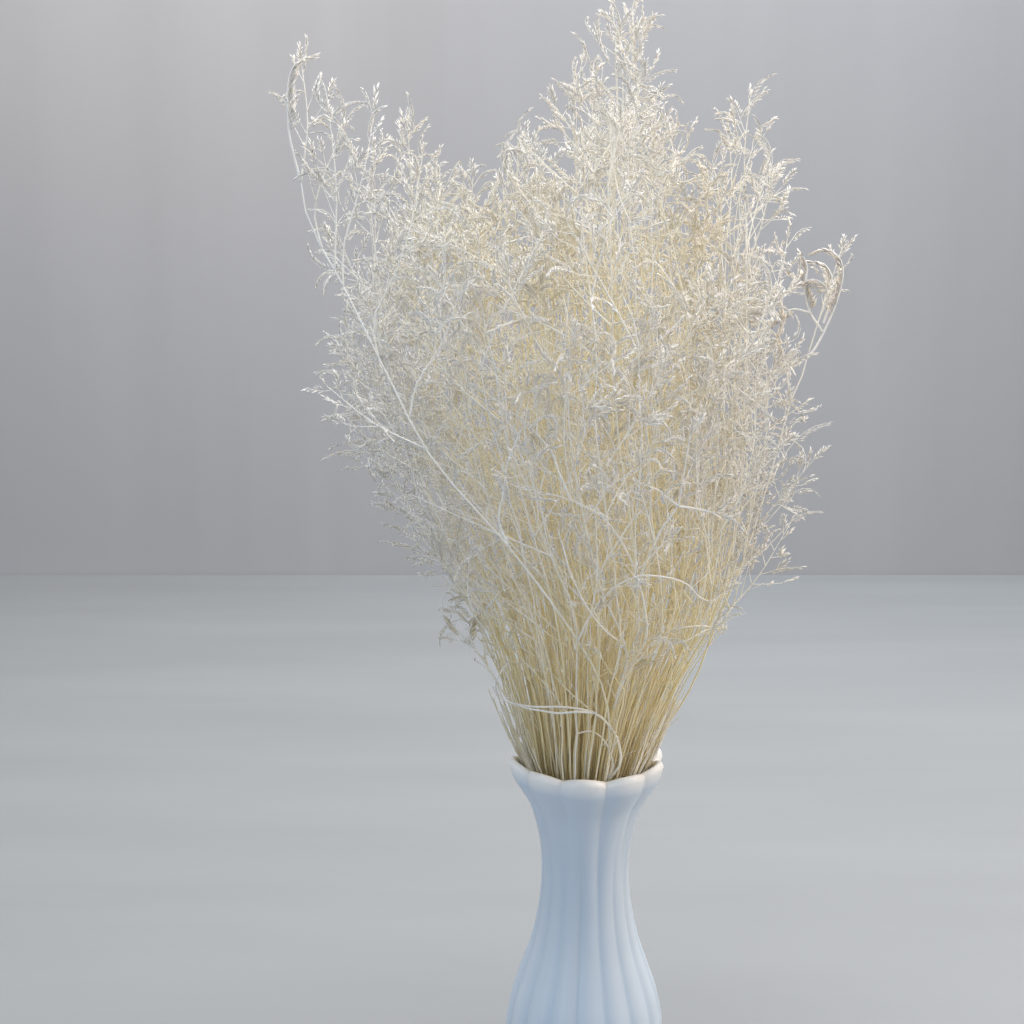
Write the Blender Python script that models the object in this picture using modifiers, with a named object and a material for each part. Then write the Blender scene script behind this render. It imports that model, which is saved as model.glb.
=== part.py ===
"""Dried broadleaf statice, bleached white, standing in a fluted white vase.

The vase is one turned shell with ribs and a scalloped mouth. Each stem of statice is one solid:
a thin stem that rises from the vase's floor, fans out above the mouth, and carries side sprays,
each a thin blade cut to its rib, its twigs and its florets, which are larger than life. The
origin is the centre of the vase's foot, +Z is up, and the front is towards -Y. Lengths are in
millimetres until a mesh is made.
"""

import math
import random

import bmesh
import bpy
from mathutils import Matrix, Vector

MM = 0.001

# Vase
FLOOR_TOP = 6.0
FLOOR_RADIUS = 23.2
FOOT_CHAMFER = 1.2
WALL = 3.4
LIP_RISE = 2.8
VASE_OUTLINE = (  # height, radius of the outside
    (0.0, 25.5),
    (6.0, 27.5),
    (18.0, 31.2),
    (34.0, 35.2),
    (52.0, 36.8),
    (70.0, 34.1),
    (84.0, 29.6),
    (98.0, 24.9),
    (116.0, 21.3),
    (133.0, 20.2),
    (145.0, 21.0),
    (156.0, 23.1),
    (166.0, 26.2),
    (173.0, 30.3),
    (179.0, 33.6),
    (184.0, 34.9),
)
OUTER_RINGS = (1.6, 16.0, 32.0, 48.0, 64.0, 80.0, 96.0, 116.0, 138.0, 156.0, 171.0, 184.0)
INNER_RINGS = (172.0, 155.0, 125.0, 62.0)
VASE_STEPS = 40
RIB_COUNT = 16
RIB_FACING = math.radians(-88.0)  # a rib of the belly points this way, to the front
RIB_DEPTH = ((0.0, 0.0), (8.0, 0.6), (50.0, 1.6), (90.0, 1.2), (130.0, 0.7), (160.0, 0.2), (186.0, 0.0))
LOBE_COUNT = 10
LOBE_FACING = math.radians(-95.0)  # a lobe of the mouth points this way, nearly to the front
LOBE_REACH = ((0.0, 0.0), (118.0, 0.0), (140.0, 0.4), (158.0, 0.7), (173.0, 1.2), (186.0, 2.3))
LOBE_RISE = ((0.0, 0.0), (168.0, 0.0), (178.0, 0.6), (186.0, 1.6))  # a lobe's middle is higher than its sides

# Bunch
STEM_COUNT = 28  # that fan out evenly
TURN = math.pi * (3.0 - math.sqrt(5.0))
FIRST_TURN = 0.9
STEM_FOOT = FLOOR_TOP + 0.55
STEM_RADIUS = (1.1, 0.62)
STEM_STATIONS = (133.0, 152.0, 178.0, 222.0, 262.0, 302.0, 342.0, 382.0, 422.0, 462.0)
TIP_DROP = (36.0, 62.0)  # how far below the bunch's top a stem ends
LAST_RUN = 12.0  # the shortest run between a stem's last two points
MIDDLE_TOP = 430.0  # the height at which the skyline is read for a stem
BEND_SIZE = 1.5
BEND_HEIGHTS = (190.0, 280.0)  # stems run straight below the first and bend in full above the second
FAN = (  # height, distance of the outermost stem from the middle of the bunch
    (0.0, 19.0),
    (70.0, 16.5),
    (133.0, 13.4),
    (152.0, 15.2),
    (178.0, 22.6),
    (213.0, 37.0),
    (237.0, 50.0),
    (261.0, 61.0),
    (280.0, 70.0),
    (307.0, 79.0),
    (352.0, 88.0),
    (396.0, 91.0),
    (520.0, 92.0),
)
MIDDLE = (  # height, how far the middle of the bunch is to the right of the vase's axis
    (185.0, 0.0),
    (213.0, 2.0),
    (250.0, 5.0),
    (284.0, 3.0),
    (329.0, -6.0),
    (396.0, -12.0),
    (440.0, -14.0),
    (480.0, -9.0),
    (520.0, -3.0),
)
ENVELOPE = (  # height, furthest that a spray reaches from the middle
    (200.0, 36.0),
    (213.0, 44.0),
    (237.0, 58.0),
    (261.0, 71.0),
    (280.0, 82.0),
    (307.0, 94.0),
    (325.0, 101.0),
    (352.0, 103.0),
    (440.0, 104.0),
    (475.0, 98.0),
    (500.0, 66.0),
    (522.0, 30.0),
)
SKYLINE = (  # place across the front, height of the bunch there
    (-125.0, 425.0),
    (-100.0, 446.0),
    (-84.0, 476.0),
    (-65.0, 454.0),
    (-44.0, 464.0),
    (-26.0, 474.0),
    (-10.0, 486.0),
    (2.0, 520.0),
    (22.0, 506.0),
    (36.0, 466.0),
    (52.0, 474.0),
    (69.0, 483.0),
    (86.0, 444.0),
    (112.0, 424.0),
)
SHOULDER = (60.0, 110.0)  # the bunch is lower than the skyline by the first at the second from it
BOUGHS = (  # the two long stems that leave the fan, on courses of their own
    (  # across the front of the bunch to its far left
        (6.4, -18.4, STEM_FOOT),
        (4.5, -13.2, 133.0),
        (5.2, -15.3, 152.0),
        (7.4, -22.0, 178.0),
        (8.2, -31.5, 202.0),
        (5.0, -42.5, 229.0),
        (-8.0, -58.0, 257.0),
        (-36.0, -79.0, 299.0),
        (-65.0, -90.0, 335.0),
        (-82.0, -91.0, 368.0),
        (-97.0, -87.0, 398.0),
        (-108.5, -82.0, 418.0),
        (-112.5, -78.5, 429.0),
        (-114.0, -76.5, 440.0),
    ),
    (  # up the right side, ending clear of the rest
        (18.9, -5.1, STEM_FOOT),
        (13.5, -3.6, 133.0),
        (15.3, -4.1, 152.0),
        (21.4, -5.7, 178.0),
        (45.9, -12.0, 222.0),
        (56.5, -13.0, 252.0),
        (68.2, -12.0, 281.0),
        (80.6, -8.0, 321.0),
        (89.2, -4.0, 352.0),
        (94.0, -3.0, 363.0),
        (97.0, -2.0, 374.0),
    ),
)

# Side sprays
SIDE_SPRAYS = 3
LOWEST_SPRAY = (288.0, 238.0)  # height of the lowest side spray on the middle and on the outermost stem
BARE_END = 14.0
SPRAY_LENGTH = (38.0, 74.0)
SPRAY_ANGLE = (28.0, 50.0)
END_LENGTH = (40.0, 54.0)
END_ANGLE = (1.0, 16.0)
LEVEL_TURN = 2.4
ROLL = 0.9
SPRAY_HALF_WIDTH = (0.6, 0.45)
SPRAY_HALF_THICKNESS = 0.42
RIB_KINK = math.radians(13.0)
SUNK = 4.0
TWIG_PLACES = ((0.30, 1), (0.44, -1), (0.62, 1))
TWIG_ANGLE = (34.0, 46.0)
TWIG_FLORET = 0.5
FLORET_LENGTH = 6.5
FLORET_PITCH = 2.6
FLORET_ANGLE = math.radians(34.0)
RIB_FLORETS = 2
SPACING = 2.35  # between the lines that two solids follow
NEAR_ROOT = 7.0
TRIES = 90
TRY_TURN = 0.04  # how much wider each try searches around the stem
TRY_SHRINK = 0.0019  # how much shorter each try makes the side spray


def along(table, place):
    """The value at a place in a table of (place, value) rows, on a smooth curve through them."""
    if place <= table[0][0]:
        return table[0][1]
    if place >= table[-1][0]:
        return table[-1][1]
    last = len(table) - 1
    k = next(i for i in range(last) if place <= table[i + 1][0])
    (x0, y0), (x1, y1) = table[k], table[k + 1]
    slope = (y1 - y0) / (x1 - x0)
    slopes = []
    for i in (k, k + 1):
        if 0 < i < last:
            (xa, ya), (xb, yb) = table[i - 1], table[i + 1]
            slopes.append((yb - ya) / (xb - xa))
        else:
            slopes.append(slope)
    width = x1 - x0
    t = (place - x0) / width
    rise = y0 * (2 * t**3 - 3 * t**2 + 1) + y1 * (3 * t**2 - 2 * t**3)
    return rise + width * (slopes[0] * (t**3 - 2 * t**2 + t) + slopes[1] * (t**3 - t**2))


def perpendiculars(axis):
    """Two unit vectors square to the axis and to each other."""
    side = axis.cross(Vector((0.0, 0.0, 1.0)))
    if side.length < 0.05:
        side = axis.cross(Vector((1.0, 0.0, 0.0)))
    side.normalize()
    return side, side.cross(axis).normalized()


# Growth: where the stems and the side sprays run


def skyline_height(x, y):
    """Height of the bunch's top over a point of the plan."""
    drop, depth = SHOULDER
    return along(SKYLINE, x) - drop * (y / depth) ** 2


def stem_points(index):
    """A stem's centreline, from the vase's floor to its tip. All stems share the fan, so none cross."""
    rng = random.Random(100 + index)
    share = math.sqrt((index + 0.35) / STEM_COUNT)
    turn = FIRST_TURN + index * TURN
    across, deep = share * math.cos(turn), share * math.sin(turn)
    widest = FAN[-1][1]
    shift = along(MIDDLE, MIDDLE_TOP)
    tip = skyline_height(shift + across * widest, deep * widest) - rng.uniform(*TIP_DROP)
    straight, bent = BEND_HEIGHTS
    points = []
    for height in (STEM_FOOT, *(h for h in STEM_STATIONS if h < tip - LAST_RUN), tip):
        reach = along(FAN, height)
        bend = BEND_SIZE * min(1.0, max(0.0, (height - straight) / (bent - straight)))
        x = along(MIDDLE, height) + across * reach + rng.uniform(-bend, bend)
        y = deep * reach + rng.uniform(-bend, bend)
        points.append(Vector((x, y, height)))
    return points


def place_on(points, height):
    """The point of a centreline at a height, and its heading there."""
    for a, b in zip(points, points[1:]):
        if a.z <= height <= b.z:
            return a.lerp(b, (height - a.z) / (b.z - a.z)), (b - a).normalized()
    return points[-1].copy(), (points[-1] - points[-2]).normalized()


def polar(length, angle):
    return Vector((length * math.cos(angle), length * math.sin(angle)))


def shoot(root, heading, length, side=0):
    """A straight shoot in a side spray's own plane, with the smaller shoots that leave it."""
    return {
        "root": root,
        "heading": heading,
        "tip": root + polar(length, heading),
        "side": side,
        "shoots": [],
    }


def branch(parent, distance, side, angle, length):
    """Adds a smaller shoot to a shoot, on its left (1) or right (-1), and returns it."""
    root = parent["root"] + polar(distance, parent["heading"])
    child = shoot(root, parent["heading"] + side * angle, length, side)
    parent["shoots"].append(child)
    return child


def spray_runs(length, rng):
    """A side spray as the two straight runs of its rib, with its twigs and florets on them."""
    lower = shoot(Vector((0.0, 0.0)), 0.0, 0.5 * length)
    upper = shoot(lower["tip"], RIB_KINK, 0.5 * length)
    for share, side in TWIG_PLACES:
        run, start = (lower, 0.0) if share < 0.5 else (upper, 0.5)
        angle = math.radians(rng.uniform(*TWIG_ANGLE))
        reach = length * (1.12 - share) * rng.uniform(0.40, 0.50)
        twig = branch(run, (share - start) * length, side, angle, reach)
        if run is lower:
            branch(twig, TWIG_FLORET * reach, side, FLORET_ANGLE, FLORET_LENGTH)
    first = 0.5 * length - FLORET_PITCH * (RIB_FLORETS + 0.5)
    for k in range(RIB_FLORETS):
        branch(upper, first + FLORET_PITCH * k, 1, FLORET_ANGLE, FLORET_LENGTH)
    return [lower, upper]


def lines_of(shoots):
    """The lines that shoots fill, as pairs of points in the spray's own plane."""
    lines = []
    for each in shoots:
        lines.append((each["root"], each["tip"]))
        lines += lines_of(each["shoots"])
    return lines


class Air:
    """Where the bunch already is, as points about a millimetre apart in a grid of cells."""

    def __init__(self):
        self.cells = {}

    def cell(self, point):
        return tuple(math.floor(c / SPACING) for c in point)

    def fill(self, points, owner):
        for point in points:
            self.cells.setdefault(self.cell(point), []).append((point, owner))

    def is_free(self, points, owner, root):
        """True if no point is near another stem's, or near its own stem's away from the root."""
        for point in points:
            x, y, z = self.cell(point)
            near_root = (point - root).length < NEAR_ROOT
            for i in (x - 1, x, x + 1):
                for j in (y - 1, y, y + 1):
                    for k in (z - 1, z, z + 1):
                        for other, whose in self.cells.get((i, j, k), ()):
                            if whose == owner and near_root:
                                continue
                            if (point - other).length < SPACING:
                                return False
        return True


def points_between(a, b):
    count = max(1, math.ceil((b - a).length))
    return [a.lerp(b, i / count) for i in range(count + 1)]


def from_middle(point):
    """How far a point is from the middle of the bunch at its height."""
    return math.hypot(point.x - along(MIDDLE, point.z), point.y)


def inside_bunch(points):
    """True if no point leaves the bunch's outline."""
    for p in points:
        if from_middle(p) > along(ENVELOPE, p.z) or p.z > skyline_height(p.x, p.y) + 2.0:
            return False
        if p.z < ENVELOPE[0][0]:
            return False
    return True


def grow_side_spray(air, owner, root, stem_heading, turn, rng, lengths, angles):
    """A side spray at a point of a stem: the first try that stays clear of the other stems."""
    side, over = perpendiculars(stem_heading)
    for attempt in range(TRIES):
        around = turn + rng.uniform(-1.0, 1.0) * (0.5 + TRY_TURN * attempt)
        angle = math.radians(rng.uniform(*angles))
        length = rng.uniform(*lengths) * (1.0 - TRY_SHRINK * attempt)
        out = side * math.cos(around) + over * math.sin(around)
        heading = (stem_heading * math.cos(angle) + out * math.sin(angle)).normalized()
        lift = (stem_heading - heading * stem_heading.dot(heading)).normalized()
        roll = rng.uniform(-ROLL, ROLL)
        lift = lift * math.cos(roll) + heading.cross(lift) * math.sin(roll)
        runs = spray_runs(length, rng)
        points = []
        for a, b in lines_of(runs):
            first = root + heading * a.x + lift * a.y
            points += points_between(first, root + heading * b.x + lift * b.y)
        if owner < STEM_COUNT and not inside_bunch(points):
            continue
        if air.is_free(points, owner, root):
            air.fill(points, owner)
            return {"root": root, "heading": heading, "lift": lift, "runs": runs}
    return None


def grow_bunch():
    """Every stem as {"points", "sprays"}: first all the stems, then the side sprays, in turn."""
    stems = [stem_points(i) for i in range(STEM_COUNT)]
    stems += [[Vector(p) for p in bough] for bough in BOUGHS]
    air = Air()
    for owner, points in enumerate(stems):
        for a, b in zip(points, points[1:]):
            air.fill(points_between(a, b), owner)
    bunch = [{"points": points, "sprays": []} for points in stems]
    for owner, points in enumerate(stems):
        rng = random.Random(500 + owner)
        heading = (points[-1] - points[-2]).normalized()
        root = points[-1] - heading * SUNK
        grown = grow_side_spray(air, owner, root, heading, 0.0, rng, END_LENGTH, END_ANGLE)
        if grown:
            bunch[owner]["sprays"].append(grown)
    for level in range(SIDE_SPRAYS):
        for owner, points in enumerate(stems):
            rng = random.Random(900 + 50 * owner + level)
            lean = from_middle(points[-1]) / FAN[-1][1]
            lowest = LOWEST_SPRAY[0] + (LOWEST_SPRAY[1] - LOWEST_SPRAY[0]) * lean
            share = (level + rng.uniform(0.25, 0.75)) / SIDE_SPRAYS
            height = lowest + share * (points[-1].z - BARE_END - lowest)
            root, heading = place_on(points, height)
            turn = LEVEL_TURN * level + owner
            grown = grow_side_spray(air, owner, root, heading, turn, rng, SPRAY_LENGTH, SPRAY_ANGLE)
            if grown:
                bunch[owner]["sprays"].append(grown)
    return bunch


# Solids


def material(name, colour, roughness):
    made = bpy.data.materials.new(name)
    made.use_nodes = True
    shader = made.node_tree.nodes["Principled BSDF"]
    shader.inputs["Base Color"].default_value = (*colour, 1.0)
    shader.inputs["Roughness"].default_value = roughness
    shader.inputs["Metallic"].default_value = 0.0
    return made


def mesh_of(curve_object, collection):
    """A curve object's evaluated mesh as a new object, with its caps welded. The curve is removed."""
    bpy.context.view_layer.update()
    graph = bpy.context.evaluated_depsgraph_get()
    mesh = bpy.data.meshes.new_from_object(curve_object.evaluated_get(graph))
    bm = bmesh.new()
    bm.from_mesh(mesh)
    bmesh.ops.remove_doubles(bm, verts=bm.verts, dist=0.00001)
    bmesh.ops.recalc_face_normals(bm, faces=bm.faces)
    bm.to_mesh(mesh)
    bm.free()
    made = bpy.data.objects.new(curve_object.name + "_solid", mesh)
    made.matrix_world = curve_object.matrix_world
    collection.objects.link(made)
    bpy.data.objects.remove(curve_object)
    return made


def triangle_section():
    """The three-sided section that every stem is drawn with."""
    curve = bpy.data.curves.new("stem_section", "CURVE")
    curve.dimensions = "2D"
    spline = curve.splines.new("POLY")
    spline.points.add(2)
    for k, point in enumerate(spline.points):
        point.co = (math.cos(k * math.tau / 3.0), math.sin(k * math.tau / 3.0), 0.0, 1.0)
    spline.use_cyclic_u = True
    made = bpy.data.objects.new("stem_section", curve)
    made.hide_render = True
    made.display_type = "WIRE"
    return made


def stem_solid(name, points, section, collection):
    """A tapered stem through its centreline's points."""
    curve = bpy.data.curves.new(name, "CURVE")
    curve.dimensions = "3D"
    curve.bevel_mode = "OBJECT"
    curve.bevel_object = section
    curve.use_fill_caps = True
    spline = curve.splines.new("POLY")
    spline.points.add(len(points) - 1)
    for k, (point, centre) in enumerate(zip(spline.points, points)):
        point.co = (*(centre * MM), 1.0)
        share = k / (len(points) - 1)
        point.radius = (STEM_RADIUS[0] * (1.0 - share) + STEM_RADIUS[1] * share) * MM
    made = bpy.data.objects.new(name, curve)
    collection.objects.link(made)
    return mesh_of(made, collection)


def edge(parent, side, half):
    """One side of a shoot from its root to its tip, with the outlines of the shoots on that side."""
    ahead = polar(1.0, parent["heading"])
    beside = polar(side * half, parent["heading"] + math.pi / 2.0)
    points = []
    for child in parent["shoots"]:
        if child["side"] != side:
            continue
        spread = 0.5 * FLORET_PITCH * ahead if not child["shoots"] else half * 1.6 * ahead
        near, far = child["root"] - spread + beside, child["root"] + spread + beside
        if not points or (points[-1] - near).length > 0.2:
            points.append(near)
        points += edge(child, side, half)
        points.append(child["tip"])
        points += reversed(edge(child, -side, half))
        points.append(far)
    return points


def spray_outline(runs):
    """A side spray's outline in its own plane: up its right side to the tip, and down its left."""
    wide, narrow = SPRAY_HALF_WIDTH
    lower, upper = runs
    across = polar(1.0, RIB_KINK / 2.0 + math.pi / 2.0) * 0.5 * (wide + narrow)
    right = [Vector((0.0, -wide)), *edge(lower, -1, wide), upper["root"] - across, *edge(upper, -1, narrow)]
    left = [Vector((0.0, wide)), *edge(lower, 1, wide), upper["root"] + across, *edge(upper, 1, narrow)]
    return right + [upper["tip"]] + left[::-1]


def spray_solid(name, spray, collection):
    """A side spray: a flat toothed outline, as thick as its rib, with its root sunk in the stem."""
    curve = bpy.data.curves.new(name, "CURVE")
    curve.dimensions = "2D"
    curve.fill_mode = "BOTH"
    curve.extrude = SPRAY_HALF_THICKNESS * MM
    outline = spray_outline(spray["runs"])
    spline = curve.splines.new("POLY")
    spline.points.add(len(outline) - 1)
    for point, place in zip(spline.points, outline):
        point.co = (place.x * MM, place.y * MM, 0.0, 1.0)
    spline.use_cyclic_u = True
    made = bpy.data.objects.new(name, curve)
    axes = (spray["heading"], spray["lift"], spray["heading"].cross(spray["lift"]))
    made.matrix_world = Matrix.Translation(spray["root"] * MM) @ Matrix(axes).transposed().to_4x4()
    collection.objects.link(made)
    return mesh_of(made, collection)


def join_all(body, collection):
    """Unites the body with everything in the collection, and removes what it was united with."""
    joint = body.modifiers.new("join", "BOOLEAN")
    joint.operation = "UNION"
    joint.operand_type = "COLLECTION"
    joint.collection = collection
    joint.solver = "MANIFOLD"
    bpy.context.view_layer.objects.active = body
    bpy.ops.object.modifier_apply(modifier=joint.name)
    for piece in list(collection.objects):
        bpy.data.objects.remove(piece)


def make_stem_node(name, stem, section, collection, pieces, paint):
    """One node: a stem with all its side sprays."""
    body = stem_solid(name, stem["points"], section, collection)
    for k, spray in enumerate(stem["sprays"]):
        spray_solid(f"{name}_side_{k}", spray, pieces)
    join_all(body, pieces)
    body.name = name
    body.data.materials.clear()
    body.data.materials.append(paint)


def vase_profile():
    """The vase's section: out under the foot, up the outside, over the lip and down the inside."""
    top = OUTER_RINGS[-1]
    rim = along(VASE_OUTLINE, top)
    outer = [(0.0, 0.0), (VASE_OUTLINE[0][1] - FOOT_CHAMFER, 0.0)]
    outer += [(along(VASE_OUTLINE, h), h) for h in OUTER_RINGS]
    lip = [
        (rim + 0.06 * WALL, top + 0.54 * LIP_RISE),
        (rim - 0.45 * WALL, top + LIP_RISE),
        (rim - 1.12 * WALL, top + 0.38 * LIP_RISE),
    ]
    inner = [(along(VASE_OUTLINE, h) - WALL, h) for h in INNER_RINGS]
    return outer + lip + inner + [(FLOOR_RADIUS, FLOOR_TOP), (0.0, FLOOR_TOP)]


def flute(x, y, z, inside):
    """A point of the turned wall moved by the belly's ribs and the mouth's lobes."""
    radius = math.hypot(x, y)
    if radius < 0.01:
        return x, y, z
    turn = math.atan2(y, x)
    lobe_wave = math.cos(LOBE_COUNT * (turn - LOBE_FACING))
    rib_wave = 0.0 if inside else abs(math.cos(0.5 * RIB_COUNT * (turn - RIB_FACING))) - 0.5
    reach = radius + along(LOBE_REACH, z) * lobe_wave + along(RIB_DEPTH, z) * rib_wave
    return x * reach / radius, y * reach / radius, z + along(LOBE_RISE, z) * lobe_wave


def make_vase(collection, paint):
    """The vase: its section turned with Screw, then ribbed and scalloped by formula."""
    profile = vase_profile()
    mesh = bpy.data.meshes.new("vase_section")
    points = [(r * MM, 0.0, h * MM) for r, h in reversed(profile)]
    mesh.from_pydata(points, [(k, k + 1) for k in range(len(points) - 1)], [])
    vase = bpy.data.objects.new("vase", mesh)
    collection.objects.link(vase)
    screw = vase.modifiers.new("turn", "SCREW")
    screw.steps = VASE_STEPS
    screw.render_steps = VASE_STEPS
    screw.use_merge_vertices = True
    screw.merge_threshold = 0.00005
    vase.rotation_euler.z = LOBE_FACING
    bpy.context.view_layer.objects.active = vase
    bpy.context.view_layer.update()
    bpy.ops.object.modifier_apply(modifier=screw.name)
    vase.data.transform(vase.matrix_world)
    vase.rotation_euler.z = 0.0
    for vertex in vase.data.vertices:
        x, y, z = (c / MM for c in vertex.co)
        skin = along(VASE_OUTLINE, z)
        inside = math.hypot(x, y) < skin - 0.7 * WALL
        vertex.co = Vector(flute(x, y, z, inside)) * MM
    vase.data.materials.append(paint)


def main():
    for old in list(bpy.data.objects):
        bpy.data.objects.remove(old)
    statice = bpy.data.collections.new("dried_statice")
    pieces = bpy.data.collections.new("side_sprays")
    for collection in (statice, pieces):
        bpy.context.scene.collection.children.link(collection)
    glaze = material("white_glaze", (0.86, 0.88, 0.90), 0.28)
    straw = material("bleached_statice", (0.86, 0.82, 0.70), 0.85)
    make_vase(statice, glaze)
    section = triangle_section()
    bunch = grow_bunch()
    for index, stem in enumerate(bunch):
        make_stem_node(f"spray_{index + 1:02d}", stem, section, statice, pieces, straw)
    bpy.data.objects.remove(section)
    bpy.data.collections.remove(pieces)


main()
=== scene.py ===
"""Looks of the dried broadleaf statice: the bleached bunch and its fluted glazed vase.

The bunch repeats the growth that places the solids, stem by stem, and then grows what is finer:
thinner stems, more side branches, twigs, heads of florets and a few stray shoots. Every piece
stands for one node of the frame. Lengths are in millimetres until a mesh is made.
"""

import math
import random

import bpy
import numpy as np
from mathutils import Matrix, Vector


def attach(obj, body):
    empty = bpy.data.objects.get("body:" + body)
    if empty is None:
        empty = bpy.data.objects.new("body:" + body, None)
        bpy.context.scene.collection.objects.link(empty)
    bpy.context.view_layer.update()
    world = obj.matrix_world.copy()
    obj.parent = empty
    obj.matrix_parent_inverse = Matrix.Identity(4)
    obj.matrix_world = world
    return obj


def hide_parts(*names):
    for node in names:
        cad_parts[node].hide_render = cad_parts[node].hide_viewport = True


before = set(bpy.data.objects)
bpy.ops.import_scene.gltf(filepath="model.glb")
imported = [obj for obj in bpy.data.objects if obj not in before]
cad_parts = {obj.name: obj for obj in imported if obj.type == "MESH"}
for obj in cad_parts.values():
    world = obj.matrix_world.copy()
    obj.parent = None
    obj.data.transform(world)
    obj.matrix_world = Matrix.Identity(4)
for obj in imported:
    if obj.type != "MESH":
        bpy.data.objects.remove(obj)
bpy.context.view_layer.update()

MM = 0.001
UP = Vector((0.0, 0.0, 1.0))

# Vase
FLOOR_TOP = 6.0
FLOOR_RADIUS = 23.2
FOOT_CHAMFER = 1.2
WALL = 3.4
LIP_RISE = 2.8
VASE_OUTLINE = (  # height, radius of the outside
    (0, 25.5), (6, 27.5), (18, 31.2), (34, 35.2), (52, 36.8), (70, 34.1), (84, 29.6), (98, 24.9),
    (116, 21.3), (133, 20.2), (145, 21), (156, 23.1), (166, 26.2), (173, 30.3), (179, 33.6), (184, 34.9),
)
VASE_TOP = 184.0
VASE_ROWS = 84
VASE_SIDES = 200
FOOT_EDGE = (0.5, 1.6)  # heights where the chamfer starts and ends
FOOT_ROUND = 0.35
LIP_SHARE = 0.53  # of the wall, from the lip's middle to its outside
LIP_OVER = 0.15  # how far the lip stands proud
LIP_ENDS = (0.15, math.pi - 0.15)
LIP_ROWS = 9
INSIDE_TOP, INSIDE_FOOT = VASE_TOP - 2.0, 14.0
RIB_FULLNESS = 0.75  # below 1 for round ribs and narrow grooves
LOBE_FULLNESS = 0.8
RIB_LEVEL, LOBE_LEVEL = 0.5, 1.2  # of the waves that turns into no relief
RIB_COUNT = 16
RIB_FACING = math.radians(-88.0)  # where one rib points, to the front
RIB_DEPTH = ((0, 0), (8, 0.6), (50, 1.6), (90, 1.2), (130, 0.7), (160, 0.2), (186, 0))
LOBE_COUNT = 10
LOBE_FACING = math.radians(-95.0)  # where one lobe points, nearly to the front
LOBE_REACH = ((0, 0), (118, 0), (140, 0.4), (158, 0.7), (173, 1.2), (186, 2.3))
LOBE_RISE = ((0, 0), (168, 0), (178, 0.6), (186, 1.6))  # of a lobe's middle over its sides

# Bunch, as in the solids
STEM_COUNT = 28  # that fan out evenly
STEM_SEED, END_SEED, SIDE_SEED = 100, 500, 900
TURN = math.pi * (3.0 - math.sqrt(5.0))
FIRST_TURN = 0.9
INNERMOST = 0.35  # where the first stem stands in the spiral, in steps of it
STEM_FOOT = FLOOR_TOP + 0.55
STEM_STATIONS = (133, 152, 178, 222, 262, 302, 342, 382, 422, 462)
TIP_DROP = (36, 62)  # how far below the bunch's top a stem ends
LAST_RUN = 12.0  # the shortest run between a stem's last two points
MIDDLE_TOP = 430.0  # where the skyline is read for a stem
BEND_SIZE = 1.5
BEND_HEIGHTS = (190, 280)  # from no bend to the full one
FAN = (  # height, distance of the outermost stem from the middle of the bunch
    (0, 19), (70, 16.5), (133, 13.4), (152, 15.2), (178, 22.6), (213, 37), (237, 50), (261, 61),
    (280, 70), (307, 79), (352, 88), (396, 91), (520, 92),
)
MIDDLE = (  # height, how far the middle of the bunch is to the right of the vase's axis
    (185, 0), (213, 2), (250, 5), (284, 3), (329, -6), (396, -12), (440, -14), (480, -9), (520, -3),
)
ENVELOPE = (  # height, furthest that a spray reaches from the middle
    (200, 36), (213, 44), (237, 58), (261, 71), (280, 82), (307, 94), (325, 101), (352, 103), (440, 104),
    (475, 98), (500, 66), (522, 30),
)
SKYLINE = (  # place across the front, height of the bunch there
    (-125, 425), (-100, 446), (-84, 476), (-65, 454), (-44, 464), (-26, 474), (-10, 486), (2, 520),
    (22, 506), (36, 466), (52, 474), (69, 483), (86, 444), (112, 424),
)
SHOULDER = (60, 110)  # it is lower by the first at the second from the front's plane
BOUGHS = (  # the two long stems that leave the fan, on courses of their own
    (  # across the front of the bunch to its far left
        (6.4, -18.4, STEM_FOOT), (4.5, -13.2, 133), (5.2, -15.3, 152), (7.4, -22, 178), (8.2, -31.5, 202),
        (5, -42.5, 229), (-8, -58, 257), (-36, -79, 299), (-65, -90, 335), (-82, -91, 368),
        (-97, -87, 398), (-108.5, -82, 418), (-112.5, -78.5, 429), (-114, -76.5, 440),
    ),
    (  # up the right side, ending clear of the rest
        (18.9, -5.1, STEM_FOOT), (13.5, -3.6, 133), (15.3, -4.1, 152), (21.4, -5.7, 178),
        (45.9, -12, 222), (56.5, -13, 252), (68.2, -12, 281), (80.6, -8, 321), (89.2, -4, 352),
        (94, -3, 363), (97, -2, 374),
    ),
)

# Side sprays, as in the solids
SIDE_SPRAYS = 3
LEVEL_SEEDS = 50  # from one stem to the next
LEVEL_SHARE = (0.25, 0.75)  # where a side spray stands in its level
ABOVE_SKYLINE = 2.0  # how far a side spray may pass it
FIRST_SWING = 0.5  # how far round the stem the first try looks
LOWEST_SPRAY = (288, 238)  # its height on the middle and on the outermost stem
BARE_END = 14.0
SPRAY_LENGTH = (38, 74)
SPRAY_ANGLE = (28, 50)
END_LENGTH = (40, 54)
END_ANGLE = (1, 16)
LEVEL_TURN = 2.4
ROLL = 0.9
RIB_KINK = math.radians(13.0)
SUNK = 4.0
TWIG_PLACES = ((0.30, 1), (0.44, -1), (0.62, 1))
TWIG_ANGLE = (34, 46)
TWIG_TAPER = 1.12  # the share of a spray at which a twig would have no length
TWIG_REACH = (0.40, 0.50)
TWIG_FLORET = 0.5
FLORET_LENGTH = 6.5
FLORET_PITCH = 2.6
FLORET_ANGLE = math.radians(34.0)
RIB_FLORETS = 2
SPACING = 2.35  # between the lines that two solids follow
NEAR_ROOT = 7.0
TRIES = 90
TRY_TURN = 0.04  # how much wider each try looks round the stem
TRY_SHRINK = 0.0019  # how much shorter each try is

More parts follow.
